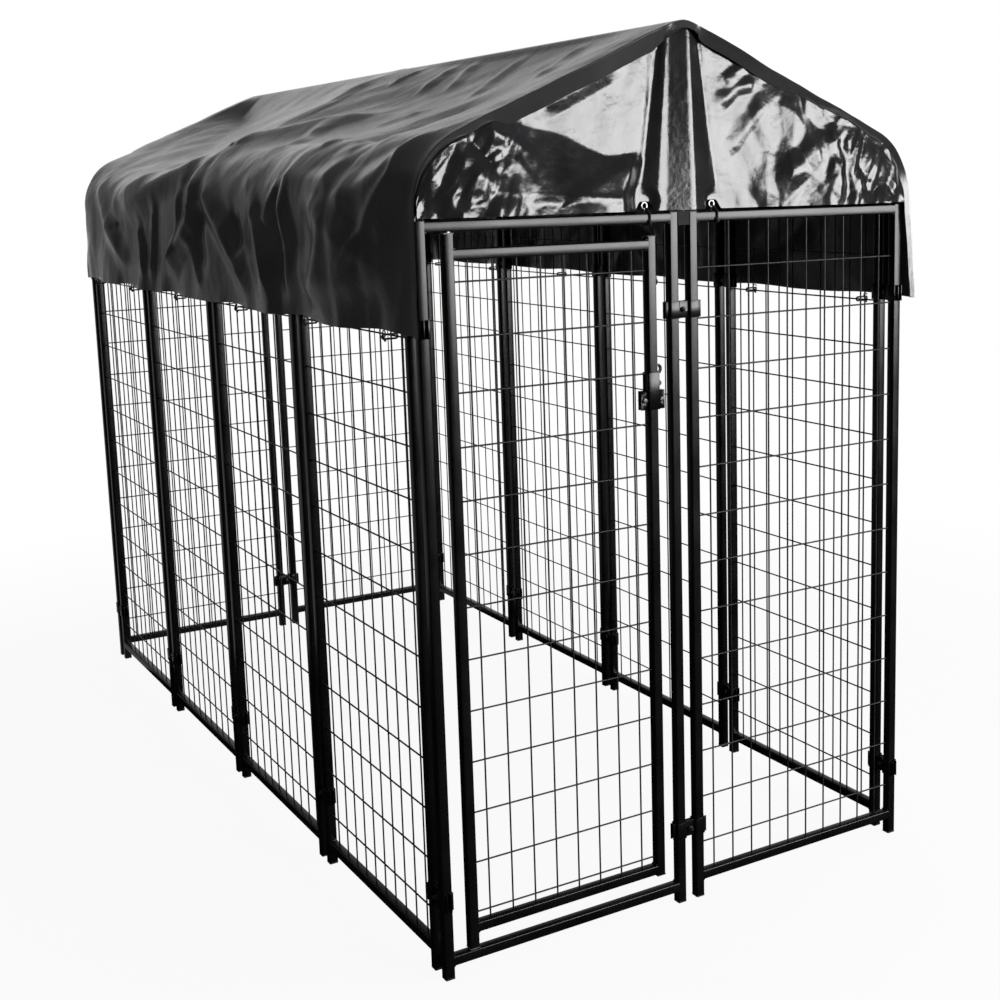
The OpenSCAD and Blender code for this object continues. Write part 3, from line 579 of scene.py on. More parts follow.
# Gate: a frame of the same tube, a full-height hinge stile, a latch stile and two rails, with its own grid.
# It turns on steel pins in the panel's rails, which run in nylon bushings in the ends of the hinge stile.
HINGE_X = -0.51425
LATCH_X = -0.0765
GATE_LOW = 0.080
GATE_HIGH = 1.377
HINGE_STILE = (0.050, 1.424)
LATCH_STILE = (0.078, 1.403)
at_gate = Matrix.Translation((0, -END_Y, 0))
gate_stiles = [(HINGE_X, *HINGE_STILE), (LATCH_X, *LATCH_STILE)]
gate_beads = (GATE_LOW, GATE_LOW + TUBE, GATE_HIGH, GATE_HIGH + TUBE)
gate_tubes = welded_frame("gate_tubes", gate_stiles, (GATE_LOW, GATE_HIGH), gate_beads)
gate_tubes.data.transform(at_gate)
fitted(gate_tubes, "gate", "coated_steel", powder_coat, "gate_frame")
gate_wires = wire_grid("gate_wires", LATCH_X - HINGE_X - TUBE, GATE_LOW + TUBE, GATE_HIGH)
gate_wires.data.transform(at_gate @ Matrix.Translation((HINGE_X + half, 0, 0)))
fitted(gate_wires, "gate", "mesh_wire", wire_coat, "gate_mesh")


def refinished(material, *nodes):
    """Gives solids that stay a better finish."""
    for name in nodes:
        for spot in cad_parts[name].material_slots:
            spot.material = material


dark_zinc = grained_finish("zinc_plate", (0.20, 0.20, 0.205), (0.34, 0.34, 0.35),
                           0.3, 0.48, 0.5, 60, 1400, 0.0002, 1.0)
nylon = grained_finish("grey_nylon", (0.06, 0.06, 0.06), (0.10, 0.10, 0.10),
                       0.4, 0.55, 0.4, 40, 1600, 0.0003)
refinished(dark_zinc, "gate_pivot_pins")
refinished(nylon, "gate_bushings")
refinished(black_plastic, "gate_stile_caps")

# Latch: a bracket of two bent halves bolted round the latch stile, and a flat lever with a ring on a pivot.
# Turned down, the lever lies behind the panel's post beside it and keeps the gate shut.


def eased_copy(node, name, width):
    """A copy of a rigid solid with its sharp edges eased."""
    piece = placed(name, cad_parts[node].data.copy())
    pick(piece, anything, "VERT")
    bpy.ops.mesh.remove_doubles(threshold=0.00001)
    bpy.ops.mesh.dissolve_limited(angle_limit=math.radians(1))
    close_edit()
    finish_with(piece, "BEVEL", width=width, segments=2, limit_method="ANGLE", angle_limit=math.radians(40),
                use_clamp_overlap=True)
    soften_shading(piece)
    return piece


for node, name, body, slot, finish, width in (
        ("latch_bracket_front", "latch_clip_front", "gate", "coated_steel", powder_coat, 0.0005),
        ("latch_bracket_rear", "latch_clip_rear", "gate", "coated_steel", powder_coat, 0.0005),
        ("latch_lever", "latch_ring_lever", "latch", "coated_steel", powder_coat, 0.0008),
        ("latch_bolts", "latch_clip_bolts", "gate", "zinc_steel", black_zinc, 0.0005),
        ("latch_nuts", "latch_clip_nuts", "gate", "zinc_steel", black_zinc, 0.0005),
        ("latch_pivot_bolt", "latch_lever_bolt", "gate", "zinc_steel", black_zinc, 0.0005),
        ("latch_pivot_nut", "latch_lever_nut", "gate", "zinc_steel", black_zinc, 0.0005)):
    fitted(eased_copy(node, name, width), body, slot, finish, node)

# Roof frame: three bows of bent round tube, with legs between the posts, and two tubes along the ridge.
# Plastic connectors join them at the ridge, and a king post on a saddle carries each of its ends.
for bow in ("front", "middle", "rear"):
    refinished(powder_coat, bow + "_left_rafter", bow + "_right_rafter")
refinished(powder_coat, "ridge_tube_front", "ridge_tube_rear", "front_king_post", "rear_king_post")
dull_coat = grained_finish("dull_black_coat", (0.006, 0.006, 0.0063), (0.010, 0.010, 0.0105),
                           0.55, 0.65, 0.1, 20, 900, 0.0003)
refinished(dull_coat, "king_post_saddles")
refinished(black_plastic, "ridge_connectors")
refinished(black_zinc, "rafter_screws")

# Gable sheets: shiny coated film that closes the roof at both ends, sewn under the roof sheet's edge.
# The film stands out over the king post, is pulled back by two ties, and is creased and crumpled.
SLOPE = math.radians(23.4)
BEND_AT = (0.43925, 1.470)
COVER_R = 0.1431
SHEET_T = 0.0012
foot_x = BEND_AT[0] + COVER_R * math.sin(SLOPE)
foot_z = BEND_AT[1] + COVER_R * math.cos(SLOPE)
SLOPE_L = foot_x / math.cos(SLOPE)
BEND_L = COVER_R * (math.pi / 2 - SLOPE)
RIDGE_TOP = foot_z + foot_x * math.tan(SLOPE)
GABLE_BACK = 1.2015
KING_OUT = 0.0222
GABLE_HEM = 1.4525
GABLE_UNDER = 0.0024
TIE_X = 0.081
TIE_HEM = 1.4705
# Creases of the gable film, in mm: points across and up, height, and widths to either side
GABLE_FOLDS = [
    ([(-310, 1647), (-220, 1690), (-140, 1728.5)], 6, 22, 12),
    ([(-430, 1615), (-380, 1585)], 7, 20, 20),
    ([(-100, 1548), (-180, 1516), (-260, 1478)], 8, 14, 50),
    ([(110, 1700), (170, 1735)], 4, 12, 12),
    ([(100, 1655), (140, 1690), (190, 1700)], 5, 14, 20),
    ([(120, 1560), (170, 1620), (200, 1660)], 3, 14, 20),
    ([(240, 1500), (320, 1560), (400, 1600)], 4, 30, 30)]


def steps(share):
    return share * share * (3 - 2 * share)


def between(low, high, value):
    return steps(np.clip((value - low) / (high - low), 0, 1))


def drift(u, v, seed):
    """Smooth noise in -1..1 over two arrays, one wave per unit."""
    net = np.random.default_rng(seed).uniform(-1, 1, (128, 128))
    iu, iv = np.floor(u).astype(int), np.floor(v).astype(int)
    fu, fv = steps(u - iu), steps(v - iv)
    a, b = net[iu % 128, iv % 128], net[(iu + 1) % 128, iv % 128]
    c, d = net[iu % 128, (iv + 1) % 128], net[(iu + 1) % 128, (iv + 1) % 128]
    return (a * (1 - fu) + b * fu) * (1 - fv) + (c * (1 - fu) + d * fu) * fv


def crumple(u, v, seed):
    """Creased noise in 0..1: flat facets that meet in sharp ridges, one to a unit square."""
    spots = np.random.default_rng(seed).uniform(0, 1, (64, 64, 3))
    iu, iv = np.floor(u).astype(int), np.floor(v).astype(int)
    best = np.full(u.shape, 9.0)
    for i in (-1, 0, 1):
        for j in (-1, 0, 1):
            spot = spots[(iu + i) % 64, (iv + j) % 64]
            du, dv = iu + i + spot[..., 0] - u, iv + j + spot[..., 1] - v
            turn_c, turn_s = np.cos(math.pi * spot[..., 2]), np.sin(math.pi * spot[..., 2])
            along, across = np.abs(du * turn_c + dv * turn_s), np.abs(dv * turn_c - du * turn_s)
            best = np.minimum(best, np.maximum(along, across))
    return np.clip(1 - best, 0, 1)


def pleat(u, v, path, height, above, below, crest):
    """A crease along a path of (u, v) points: its height falls to nothing on either side."""
    best = np.full(u.shape, 9.0)
    side = np.zeros(u.shape)
    share = np.zeros(u.shape)
    runs = [math.dist(p, q) for p, q in zip(path, path[1:])]
    done = 0
    for (p, q), run in zip(zip(path, path[1:]), runs):
        du, dv = (q[0] - p[0]) / run, (q[1] - p[1]) / run
        t = np.clip((u - p[0]) * du + (v - p[1]) * dv, 0, run)
        away = np.hypot(u - p[0] - t * du, v - p[1] - t * dv)
        nearer = away < best
        best = np.where(nearer, away, best)
        side = np.where(nearer, (u - p[0]) * dv - (v - p[1]) * du, side)
        share = np.where(nearer, (done + t) / sum(runs), share)
        done += run
    away = np.sqrt(best ** 2 + crest ** 2) - crest
    fall = np.clip(1 - away / np.where(side > 0, above, below), 0, 1) ** 1.15
    return height * fall * np.clip(4 * np.minimum(share + 0.08, 1.08 - share), 0, 1)


def folded(u, v, folds, crest):
    """The sum of a table of creases."""
    total = np.zeros(u.shape)
    for path, *sizes in folds:
        path = [(p / 1000, q / 1000) for p, q in path]
        total += pleat(u, v, path, *[size / 1000 for size in sizes], crest)
    return total


def gable_top(x):
    """Height of the sheet's upper edge, just under the roof sheet."""
    a = np.abs(x)
    arc = BEND_AT[1] + np.sqrt(np.maximum((COVER_R - GABLE_UNDER) ** 2 - (a - BEND_AT[0]) ** 2, 0))
    straight = RIDGE_TOP - GABLE_UNDER / math.cos(SLOPE) - a * math.tan(SLOPE)
    return np.where(a < foot_x - GABLE_UNDER * math.sin(SLOPE), straight, arc)


def gable_stand(x, z):
    """How far the film stands out from the middle of the kennel, without its creases."""
    up = np.clip((z - GABLE_HEM) / (RIDGE_TOP - GABLE_HEM), 0, 1)
    knees = [(-0.098 + 0.062 * up, 0.0), (-0.058 + 0.026 * up, 0.0108), (-0.037 + 0.012 * up, 0.0114),
             (0.019 - 0.010 * up, KING_OUT), (0.027 - 0.012 * up, KING_OUT), (0.0975 - 0.056 * up, 0.0008),
             (0.16 - 0.03 * up, 0.0008), (0.20, 0.0)]
    stand = np.zeros(np.broadcast(x, z).shape)
    for (x0, y0), (x1, y1) in zip(knees, knees[1:]):
        stand = np.where((x >= x0) & (x < x1), y0 + (y1 - y0) * (x - x0) / (x1 - x0), stand)
    at_tie = between(0.032, 0.010, np.hypot(np.abs(x) - TIE_X, z - TIE_HEM))
    return GABLE_BACK + stand * (1 - at_tie)


def gable_creases(x, z, seed):
    """Outward relief of the film: it bellies over the rail on one side and is crumpled at the corners."""
    under = gable_top(x) - z
    wild = between(0.29, 0.43, np.abs(x))
    sway = 0.03 * drift(x / 0.09, z / 0.09, seed + 3)
    relief = 0.001 * (1 + drift(x / 0.17, z / 0.15, seed)) + 0.0024 * crumple(x / 0.05, z / 0.12, seed + 1)
    relief += 0.013 * between(-0.38, -0.57, x)
    low_right = np.clip((1.675 - 0.45 * (x - 0.28) - z - 0.5 * sway) / 0.15, 0, 1)
    relief += 0.013 * between(0.13, 0.30, x) * low_right
    relief += 0.012 * between(0.20, 0.36, x) * between(0.58, 0.42, x)
    belly = between(-0.094, -0.13, x) * between(-0.56, -0.42, x)
    upper, lower = 1.592 - 0.26 * (x + 0.25), 1.482 - 0.06 * (x + 0.25)
    relief += 0.026 * belly * np.clip((upper - z - 0.4 * sway) / (upper - lower), 0, 1)
    relief += 0.004 * belly * crumple(x / 0.09, z / 0.05, seed + 7) * between(1.492, 1.468, z)
    near_king = between(0.13, 0.22, x)
    relief += 0.009 * near_king * crumple((x + 0.2 * z + sway) / 0.06, (z - 0.5 * x) / 0.11, seed + 8)
    relief += wild * 0.013 * crumple((x + 0.3 * z + sway) / 0.065, (z - 0.4 * x) / 0.13, seed + 2)
    relief += wild * 0.005 * crumple((x - 0.5 * z) / 0.028, (z + 0.3 * x + sway) / 0.07, seed + 12)
    relief += folded(x, z, GABLE_FOLDS, 0.006)
    return relief * between(0.0, 0.012, under)


def cloth_mesh(name, points, uv):
    """A sheet with thickness from rows and columns of points, with its flat layout as its UV map."""
    rows, columns = points.shape[:2]
    index = np.arange(rows * columns).reshape(rows, columns)
    quads = np.stack([index[:-1, :-1], index[:-1, 1:], index[1:, 1:], index[1:, :-1]], -1).reshape(-1, 4)
    mesh = bpy.data.meshes.new(name)
    mesh.from_pydata(points.reshape(-1, 3).tolist(), [], quads.tolist())
    layout = mesh.uv_layers.new(name="flat")
    flat = uv.reshape(-1, 2)
    for loop in mesh.loops:
        layout.data[loop.index].uv = flat[loop.vertex_index]
    piece = placed(name, mesh)
    finish_with(piece, "SOLIDIFY", thickness=SHEET_T, offset=0)
    soften_shading(piece, 40)
    return piece


def combined(tree, operation, first, second):
    """One operation on two values."""
    return added(tree, "ShaderNodeMath", {0: first, 1: second}, operation=operation).outputs[0]


# Weave of flat tape yarns under a thin coat: threads both ways, with patches of gloss and colour
weave_group, weave_in, weave_out = new_group(
    "woven_film", [("Layout", None), ("Threads", 420.0)], ["Threads", "Patches", "Crinkle"])
layout = weave_in["Layout"]
yarns = []
for direction in ("X", "Y"):
    yarns.append(added(weave_group, "ShaderNodeTexWave", {"Vector": layout, "Scale": weave_in["Threads"]},
                       wave_type="BANDS", bands_direction=direction).outputs["Fac"])
crossed = combined(weave_group, "MAXIMUM", *yarns)
patches = graded(weave_group, noise(weave_group, layout, 7, 5), 0.0, 1.0, 0.3, 0.7)
crinkles = graded(weave_group, noise(weave_group, layout, 38, 6), 0.0, 1.0, 0.3, 0.7)
fed(weave_group, weave_out, {"Threads": crossed, "Patches": patches, "Crinkle": crinkles})


def film_finish(name, dark, light, rough_low, rough_high, gloss, thread_bump, crinkle_bump):
    """Coated woven film, laid out by the sheet's own flat layout."""
    material, tree = new_finish(name)
    flat = added(tree, "ShaderNodeUVMap", {}, uv_map="flat").outputs["UV"]
    weave = added(tree, "ShaderNodeGroup", {"Layout": flat}, node_tree=weave_group).outputs
    threads = raised(tree, weave["Threads"], thread_bump, 0.0003)
    shaded(tree, {
        "Base Color": two_tone(tree, weave["Patches"], dark, light),
        "Roughness": graded(tree, weave["Patches"], rough_low, rough_high),
        "Normal": raised(tree, weave["Crinkle"], crinkle_bump, 0.004, Normal=threads),
        "Specular IOR Level": gloss})
    return material


shiny_film = film_finish("shiny_cover_film", (0.006, 0.006, 0.0065), (0.014, 0.014, 0.015),
                         0.15, 0.22, 0.34, 0.04, 0.12)


def gable_sheet(name, seed):
    """A gable's film, at the front end."""
    reach = BEND_AT[0] + (COVER_R - GABLE_UNDER) * math.cos(math.radians(8))
    x = np.linspace(-reach, reach, 281)[None, :]
    t = np.linspace(0, 1, 85)[:, None]
    near_tie = between(0.024, 0.010, np.abs(np.abs(x) - TIE_X))
    low = GABLE_HEM + (TIE_HEM - GABLE_HEM) * near_tie
    z = low + (gable_top(x) - low) * t
    x = np.broadcast_to(x, z.shape)
    creases = gable_creases(x, z, seed)
    creases *= 1 - between(0.075, 0.012, np.hypot(np.abs(x) - TIE_X, z - TIE_HEM))
    creases *= 1 - between(0.106, 0.084, np.abs(x + 0.004) + 0.12 * (z - GABLE_HEM))
    y = -(gable_stand(x, z) + creases)
    return cloth_mesh(name, np.stack([x, y, z], -1), np.stack([x, z], -1))


front_gable = gable_sheet("front_gable_film", 11)
rear_gable = gable_sheet("rear_gable_film", 41)
rear_gable.data.transform(Matrix.Rotation(math.pi, 4, "Z"))
for made, node, ties in ((front_gable, "front_gable_sheet", "front_king_post"),
                         (rear_gable, "rear_gable_sheet", "rear_king_post")):
    fitted(made, "kennel", "cover_film", shiny_film, node)

# Roof sheet: one piece of dull coated film over the three bows, with a valance tied down along each side.
# Its front and rear edges turn down over the gables, and folds run from the bows' shoulders to the ties.
EAVE_Y = 1.224
VALANCE_L = BEND_AT[1] - 1.2495
SHEET_HALF = SLOPE_L + BEND_L + VALANCE_L
BOW_Y = 1.1855
SIDE_TIES = (0.2456, 0.6859, 1.0923)
TIE_OUT = 0.0105
RIDGE_SOFT = 0.014
RIDGE_LIFT = 0.0046
EDGE_OUT = 0.006
FRONT_SAG = 0.030
REAR_SAG = 0.042
# Folds of the roof sheet, in mm: points down from the ridge and along, height, and widths to either side
SHOULDER_FOLDS = [
    ([(580, 50), (470, 0), (420, -120), (360, -220), (320, -400)], 16, 50, 130),
    ([(420, 80), (270, 30), (150, 70), (60, 40)], 9, 100, 60),
    ([(640, -700), (600, -870), (500, -860), (430, -840), (360, -900), (310, -970)], -12, 80, 100),
    ([(650, -570), (652, -720), (652, -850), (690, -900)], 26, 110, 120),
    ([(550, 70), (600, 200), (650, 400), (700, 570), (740, 720)], 24, 60, 140),
    ([(610, 460), (650, 580), (720, 850)], 12, 50, 70),
    ([(640, 1040), (720, 930), (760, 890)], 8, 50, 60),
    ([(740, 910), (820, 770), (900, 660)], 18, 50, 60),
    ([(600, 80), (680, 30), (740, 60), (830, 190), (910, 270)], 21, 50, 50),
    ([(640, -10), (700, -100), (760, -190), (830, -290), (910, -360)], 21, 50, 60),
    ([(650, 180), (740, 170), (900, 210)], 11, 30, 30),
    ([(700, 390), (800, 400), (910, 420)], 12, 30, 35),
    ([(750, 540), (830, 490), (900, 470)], 11, 30, 30),
    ([(790, 80), (840, 30), (900, -30)], 11, 30, 30),
    ([(690, 0), (780, 0), (850, -50)], -10, 40, 40),
    ([(720, -260), (820, -300)], -10, 30, 30),
    ([(690, -380), (740, -440), (810, -480), (890, -530)], 16, 30, 90),
    ([(660, -550), (740, -470)], 8, 20, 20),
    ([(670, -570), (760, -550), (880, -570)], -13, 50, 50),
    ([(670, -600), (810, -640), (910, -630)], 18, 50, 50),
    ([(690, -900), (790, -860), (860, -810), (920, -780)], 32, 300, 160),
    ([(690, -900), (680, -1000), (650, -1080), (610, -1130), (560, -1150)], 19, 50, 200),
    ([(560, -1140), (650, -1140), (740, -1050), (820, -960)], 5, 14, 14),
    ([(520, -320), (490, -350), (410, -270)], 6, 25, 50),
    ([(420, -590), (370, -600), (320, -650)], 6, 30, 50),
    ([(570, -660), (510, -700)], 5, 20, 30),
    ([(180, -380), (120, -350), (60, -330)], 5, 20, 40),
    ([(180, -530), (100, -460), (50, -430)], 5, 20, 40),
    ([(270, -780), (190, -730), (60, -680)], 5, 20, 40),
    ([(250, -1040), (150, -980), (60, -950)], 5, 20, 40),
    ([(130, -130), (50, -140)], 5, 20, 30)]
dull_film = film_finish("dull_cover_film", (0.020, 0.020, 0.0205), (0.029, 0.029, 0.030),
                        0.19, 0.27, 0.45, 0.10, 0.10)


def section_point(s):
    """Place and outward normal of the taut sheet, at a way s down from the ridge."""
    turn = np.clip((s - SLOPE_L) / COVER_R, 0, math.pi / 2 - SLOPE)
    nx, nz = np.sin(SLOPE + turn), np.cos(SLOPE + turn)
    flat = np.minimum(s, SLOPE_L) * math.cos(SLOPE)
    soft = np.sqrt(flat ** 2 + RIDGE_SOFT ** 2)
    slope_z = RIDGE_TOP - soft * math.tan(SLOPE) + RIDGE_LIFT * between(0.25, 0.03, s)
    down = np.maximum(s - SLOPE_L - BEND_L, 0)
    x = np.where(s < SLOPE_L, flat, BEND_AT[0] + COVER_R * nx)
    z = np.where(s < SLOPE_L, slope_z, BEND_AT[1] + COVER_R * nz - down)
    return x, z, nx, nz


def tie_nearness(y, wide):
    """1 at each side tie, falling to 0 at the given distance along the hem."""
    gap = np.min([np.abs(np.abs(y) - tie) for tie in SIDE_TIES], axis=0)
    return between(wide, 0.0, gap)


def sheet_relief(s, y, seed, corner_out):
    """How far the sheet stands off its taut place, outwards."""
    on_slope = np.clip(s / SLOPE_L, 0, 1)
    drop = np.clip((s - SLOPE_L - 0.5 * BEND_L) / (SHEET_HALF - SLOPE_L - 0.5 * BEND_L), 0, 1)
    bay = np.clip(np.sin(math.pi * np.clip(-y / BOW_Y, 0, 1)), 0, 1)
    front_sag = FRONT_SAG * (np.sqrt(bay ** 2 + 0.0025) - 0.05) * np.sin(math.pi * on_slope) ** 0.7
    lowest_y = np.interp(s, [0, 0.12, 0.23, 0.36, 0.50, 0.60], [1.10, 1.08, 0.90, 0.70, 0.50, 0.45])
    valley = np.clip(np.minimum(y / lowest_y, (BOW_Y - y) / (BOW_Y - lowest_y)), 0, 1)
    valley *= between(0.0, 0.16, s) * between(SLOPE_L + 0.8 * BEND_L, SLOPE_L, s)
    relief = -np.where(y > 0, REAR_SAG * valley, front_sag)
    folds = folded(s, y, SHOULDER_FOLDS, 0.004)
    at_edge = between(EAVE_Y, EAVE_Y - 0.09, np.abs(y))
    at_tie = tie_nearness(y, 0.10) * between(SHEET_HALF - 0.12, SHEET_HALF, s)
    at_hem = between(SHEET_HALF - 0.09, SHEET_HALF, s)
    relief += folds * (0.1 + 0.9 * at_edge) * (1 - at_tie) * (1 - 0.6 * at_hem)
    hang = TIE_OUT + 0.016 * (1 - tie_nearness(y, 0.20)) * (0.6 + 0.4 * drift(y / 0.13, s * 0, seed))
    front_share, rear_share = between(1.10, EAVE_Y, -y), between(1.10, EAVE_Y, y)
    hang *= (1 - front_share) * (1 - rear_share)
    hang += corner_out[0] * front_share + corner_out[1] * rear_share
    relief += hang * drop ** 1.3
    waver = 1.5 * drift(y / 0.4, s * 0, seed + 1)
    ripples = 0.0045 * (1 + drift(y / 0.055 + waver, 0.8 * s / 0.2, seed + 2))
    relief += ripples * drop * (1 - at_tie) * at_edge
    relief += 0.0007 * (1 + drift(s / 0.05, y / 0.07, seed + 3)) * between(0.02, 0.12, s)
    relief += 0.004 * crumple((s - 0.5 * y) / 0.12, (y + 0.4 * s) / 0.24, seed + 4) * between(0.02, 0.15, s)
    near_bow = np.max([between(0.05, 0.012, np.abs(y - bow)) for bow in (-BOW_Y, 0, BOW_Y)], axis=0)
    free = (1 - near_bow) * between(0.015, 0.10, s)
    free *= between(SLOPE_L + 0.8 * BEND_L, SLOPE_L + 0.2 * BEND_L, s)
    return np.maximum(relief, -0.0006 - REAR_SAG * free)


def half_sheet(side, y, seed):
    """Points and layout of one half of the sheet, from the ridge down; y runs along the columns."""
    s = np.concatenate([np.linspace(0, SLOPE_L, 48), np.linspace(SLOPE_L, SLOPE_L + BEND_L, 19)[1:],
                        np.linspace(SLOPE_L + BEND_L, SHEET_HALF, 23)[1:]])
    s, y = np.meshgrid(s, y, indexing="ij")
    x, z, nx, nz = section_point(s)
    relief = sheet_relief(s, -side * y, seed, (0.001, 0.002) if side < 0 else (0.014, 0.026))
    shoulder = between(SLOPE_L - 0.10, SLOPE_L, s) * between(SHEET_HALF - 0.01, SHEET_HALF - 0.21, s)
    relief = np.where(s < 0.001, 0, relief) - 0.016 * between(1.198, EAVE_Y, y) * shoulder
    x, z = x + nx * relief, z + nz * relief
    z = z - 0.006 * (1 - tie_nearness(y, 0.16)) * between(SHEET_HALF - 0.03, SHEET_HALF, s)
    low_turn, tucked = (0.0025, 0.015) if side < 0 else (0.012, 0.001)
    rake = 0.036 if side < 0 else 0.022
    turn_down = np.interp(s[:, 0], [0, 0.02, 0.07, SLOPE_L, SLOPE_L + BEND_L, SHEET_HALF],
                          [0.014, 0.014, rake, rake, 1.2 * low_turn, low_turn])
    lean = between(0.0, 0.30, s[:, 0])
    low_share = between(SLOPE_L + 0.3 * BEND_L, SLOPE_L + BEND_L, s[:, 0])
    edges = []
    for end in (-1, 1):
        column = 0 if end < 0 else -1
        ex, ez = x[:, column], z[:, column]
        down_x, down_z = nx[:, column] * lean, nz[:, column] * lean + (1 - lean) / math.cos(SLOPE)
        rake_back = np.clip(EAVE_Y + EDGE_OUT - gable_stand(ex, ez) - 0.0035, 0.002, 0.018)
        rake_back = rake_back + (-0.004 - rake_back) * between(0.05, 0.025, ex)
        back = rake_back + (tucked - rake_back) * low_share
        strip = []
        for share, inward in ((0.05, 0.0), (0.5, 0.5), (1.0, 1.0)):
            fall = turn_down * share
            strip.append(np.stack([side * (ex - down_x * fall), end * (EAVE_Y + EDGE_OUT - back * inward),
                                   ez - down_z * fall], -1))
        edges.append(strip)
    sheet = np.stack([side * x, y, z], -1)
    left = [column[:, None] for column in reversed(edges[0])]
    right = [column[:, None] for column in edges[1]]
    points = np.concatenate(left + [sheet] + right, axis=1)
    turned = np.array([0.029, 0.0145, 0.003])
    run = np.concatenate([y[0, 0] - turned, y[0], y[0, -1] + turned[::-1]])
    layout = np.stack(np.meshgrid(side * s[:, 0], run, indexing="ij"), -1)
    return points, layout


edge_columns = EAVE_Y - np.array([0.0, 0.003])
inner_columns = np.linspace(-EAVE_Y + 0.012, EAVE_Y - 0.012, 246)
columns_y = np.concatenate([-edge_columns, inner_columns, edge_columns[::-1]])
left_points, left_layout = half_sheet(-1, columns_y, 71)
right_points, right_layout = half_sheet(1, columns_y, 91)
roof_points = np.concatenate([left_points[::-1], right_points[1:]])
roof_layout = np.concatenate([left_layout[::-1], right_layout[1:]])
roof_cover = cloth_mesh("roof_cover", roof_points, roof_layout)
fitted(roof_cover, "kennel", "cover_film", dull_film, "roof_sheet")

# Hem ties: a loop of black elastic cord at each hem ring, round a wire of the mesh or round the top rail.
# Each loop is closed by a knot.
bright_zinc = grained_finish("bright_zinc", (0.5, 0.5, 0.51), (0.72, 0.72, 0.73),
                             0.25, 0.4, 0.5, 80, 1400, 0.0002, 1.0)
refinished(bright_zinc, "hem_rings")
CORD_R = 0.002
CORD_GAP = 0.0003
KNOT_R = 0.0026
KNOT_CORD_R = 0.0021
HELD_WIRE = 0.0026
TIE_Z = 1.2356
HEM_X = 0.59225
RING_Y = 1.2025
RING_Z = 1.4577
cord_sleeve = grained_finish("elastic_sleeve", (0.008, 0.008, 0.008), (0.02, 0.02, 0.02),
                             0.6, 0.75, 0.25, 300, 2400, 0.0005)


def cord_loop(name, path):
    """A closed loop of cord along a path of points, with a knot at its first point."""
    curve = bpy.data.curves.new(name, "CURVE")
    curve.dimensions = "3D"
    curve.bevel_depth = CORD_R
    curve.bevel_resolution = 3
    line = curve.splines.new("POLY")
    line.points.add(len(path) - 1)
    for point, at in zip(line.points, path):
        point.co = (*at, 1)
    line.use_cyclic_u = True
    piece = placed(name, curve)
    only(piece)
    bpy.ops.object.convert(target="MESH")
    piece = bpy.context.object
    at = Vector(path[0])
    bpy.ops.mesh.primitive_torus_add(major_segments=16, minor_segments=8, major_radius=KNOT_R,
                                     minor_radius=KNOT_CORD_R, location=at, rotation=(0.5, 0.9, 0.3))
    knot = settled("knot")
    reshaped(knot, anything, "VERT", bpy.ops.transform.resize, value=(1.15, 1.0, 1.3), center_override=at)
    return joined(name, [piece, knot])


def stadium(start, end, radius):
    """A flat loop round two points on one level line along X."""
    path = []
    for centre, first in ((end, -90), (start, 90)):
        for step in range(0, 181, 18):
            a = math.radians(first + step)
            path.append((centre[0] + radius * math.cos(a), centre[1], centre[2] + radius * math.sin(a)))
    return path


def belt(rounds):
    """A tight loop round several circles, each a centre and a radius, as flat points."""
    points = []
    for centre, radius in rounds:
        for degrees in range(0, 360, 15):
            a = math.radians(degrees)
            points.append((centre[0] + radius * math.cos(a), centre[1] + radius * math.sin(a)))
    return [points[k] for k in convex_hull_2d(points)]


loops = []
side_round = HELD_WIRE * math.sqrt(2) / 2 + CORD_GAP + CORD_R
for sx in (-1, 1):
    for sy in (-1, 1):
        for tie in SIDE_TIES:
            path = stadium((SIDE_X, sy * tie, TIE_Z), (HEM_X, sy * tie, TIE_Z), side_round)
            loops.append(cord_loop("loop", [(sx * p[0], p[1], p[2]) for p in path]))
        corner = TUBE / 2 - TUBE_ROUND
        rounds = [((-END_Y + i * corner, WALL_H - TUBE / 2 + j * corner), TUBE_ROUND + CORD_R + CORD_GAP)
                  for i in (-1, 1) for j in (-1, 1)] + [((-RING_Y, RING_Z), 0.002)]
        flat = belt(rounds)
        front = min(range(len(flat)), key=lambda k: math.dist(flat[k], (-END_Y - 0.012, WALL_H - 0.016)))
        ring = [(sx * TIE_X, -sy * y, z) for y, z in flat[front:] + flat[:front]]
        loops.append(cord_loop("loop", ring))
tie_set = joined("elastic_ties", loops)
soften_shading(tie_set, 60)
fitted(tie_set, "kennel", "elastic_cord", cord_sleeve, "tie_loops")

# Studio: a white floor that keeps a faint shadow, a large soft lamp at the front right and one overhead.
# The camera sees white all round. Shiny surfaces mirror a dark room and carpet with a grey wall at the rear
# left and an open rear right, and a surround that is white at the horizon and darkens upwards.
ROOM_R = 7.5
ROOM_H = 6
ROOM_OPEN = (-6, 60)
CARPET_Z = 0.0003
MIRRORED = ("Is Camera Ray", "Is Transmission Ray", "Is Glossy Ray")


def rays_of(tree, kinds):
    """1 for rays of the named kinds, and 0 for all others."""
    path = tree.nodes.new("ShaderNodeLightPath").outputs
    share = path[kinds[0]]
    for kind in kinds[1:]:
        share = combined(tree, "MAXIMUM", share, path[kind])
    return share


def axes_of(tree, kind):
    """The three axes of a place or a direction."""
    place = tree.nodes.new("ShaderNodeTexCoord").outputs[kind]
    return added(tree, "ShaderNodeSeparateXYZ", {0: place}).outputs


def mixed(tree, share, plain, shown, ending):
    """Ends a node tree with two shaders, of which the second shows by its share."""
    blend = added(tree, "ShaderNodeMixShader", {"Fac": share, 1: plain.outputs[0], 2: shown.outputs[0]})
    added(tree, ending, {"Surface": blend.outputs["Shader"]})


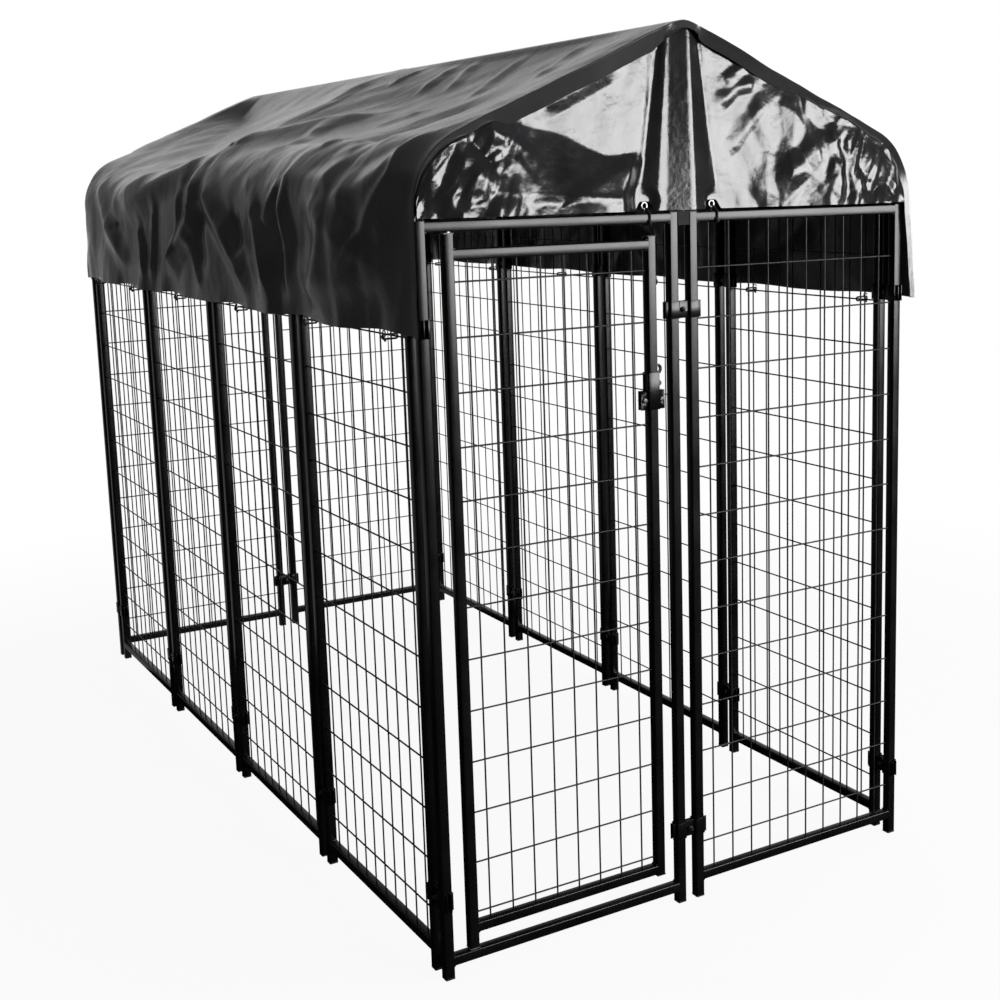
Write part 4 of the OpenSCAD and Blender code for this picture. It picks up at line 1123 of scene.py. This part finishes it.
floor_material, tree = new_finish("studio_floor")
tree.nodes.clear()
matt = added(tree, "ShaderNodeBsdfDiffuse", {"Color": (0.45, 0.45, 0.45, 1)})
bright = added(tree, "ShaderNodeEmission", {"Strength": 1.0})
floor_place = tree.nodes.new("ShaderNodeTexCoord").outputs["Object"]
floor_way = added(tree, "ShaderNodeVectorMath", {0: floor_place}, operation="LENGTH").outputs["Value"]
fade = graded(tree, floor_way, 0.93, 1.0, 1.6, 3.2)
share = combined(tree, "MULTIPLY", fade, rays_of(tree, MIRRORED))
mixed(tree, share, matt, bright, "ShaderNodeOutputMaterial")
bpy.ops.mesh.primitive_circle_add(vertices=96, radius=14, fill_type="NGON", location=(0, 0, -0.0005))
floor = settled("studio_floor")
floor.data.materials.append(floor_material)


def soft_lamp(name, at, aim, wide, high, watts):
    """A rectangular soft lamp that faces a point."""
    lamp = bpy.data.lights.new(name, "AREA")
    lamp.shape = "RECTANGLE"
    lamp.size = wide
    lamp.size_y = high
    lamp.energy = watts
    made = placed(name, lamp)
    made.matrix_world = turned_to(at, Vector(aim) - Vector(at), "-Z")
    made.visible_camera = False


soft_lamp("front_lamp", (2.4, -4.6, 1.6), (0.0, -1.2, 1.5), 2.8, 1.4, 290)
soft_lamp("ceiling_lamp", (1.0, -0.4, 4.4), (0.0, 0.0, 1.5), 1.8, 1.8, 80)


def in_opening(face):
    """Accepts the faces of the room's wall at its open rear right."""
    spot = face.calc_center_median()
    return ROOM_OPEN[0] < math.degrees(math.atan2(spot.x, spot.y)) < ROOM_OPEN[1]


bpy.ops.mesh.primitive_cylinder_add(vertices=72, radius=ROOM_R, depth=ROOM_H, end_fill_type="NOTHING",
                                    location=(0, 0, ROOM_H / 2))
room = settled("dark_room")
reshaped(room, in_opening, "FACE", bpy.ops.mesh.delete, type="FACE")
bpy.ops.mesh.primitive_circle_add(vertices=72, radius=ROOM_R, fill_type="NGON", location=(0, 0, CARPET_Z))
room = joined("dark_room", [room, settled("carpet")])
room_black = grained_finish("room_black", (0.004, 0.004, 0.004), (0.006, 0.006, 0.006),
                            0.9, 1.0, 0.0, 1, 20, 0.001)
tree = room_black.node_tree
room_axes = axes_of(tree, "Object")
grey_wall = graded(tree, room_axes["X"], 0.0, 0.24, -5.0, -2.6)
behind = combined(tree, "GREATER_THAN", room_axes["Y"], 1.0)
patch = combined(tree, "MULTIPLY", grey_wall, behind)
shaded(tree, {"Emission Strength": patch})
room.data.materials.append(room_black)
for seen_by in ("visible_camera", "visible_diffuse", "visible_transmission", "visible_shadow"):
    setattr(room, seen_by, False)
world = bpy.data.worlds.new("white_surround")
scene.world = world
world.use_nodes = True
tree = world.node_tree
tree.nodes.clear()
dim = added(tree, "ShaderNodeBackground", {"Color": (1, 1, 1, 1), "Strength": 0.50})
risen = graded(tree, axes_of(tree, "Generated")["Z"], 1.0, 0.12, 0.23, 0.48)
level_of_white = combined(tree, "MAXIMUM", risen, rays_of(tree, MIRRORED[:2]))
white = added(tree, "ShaderNodeBackground", {"Color": (1, 1, 1, 1), "Strength": level_of_white})
mixed(tree, rays_of(tree, MIRRORED), dim, white, "ShaderNodeOutputWorld")
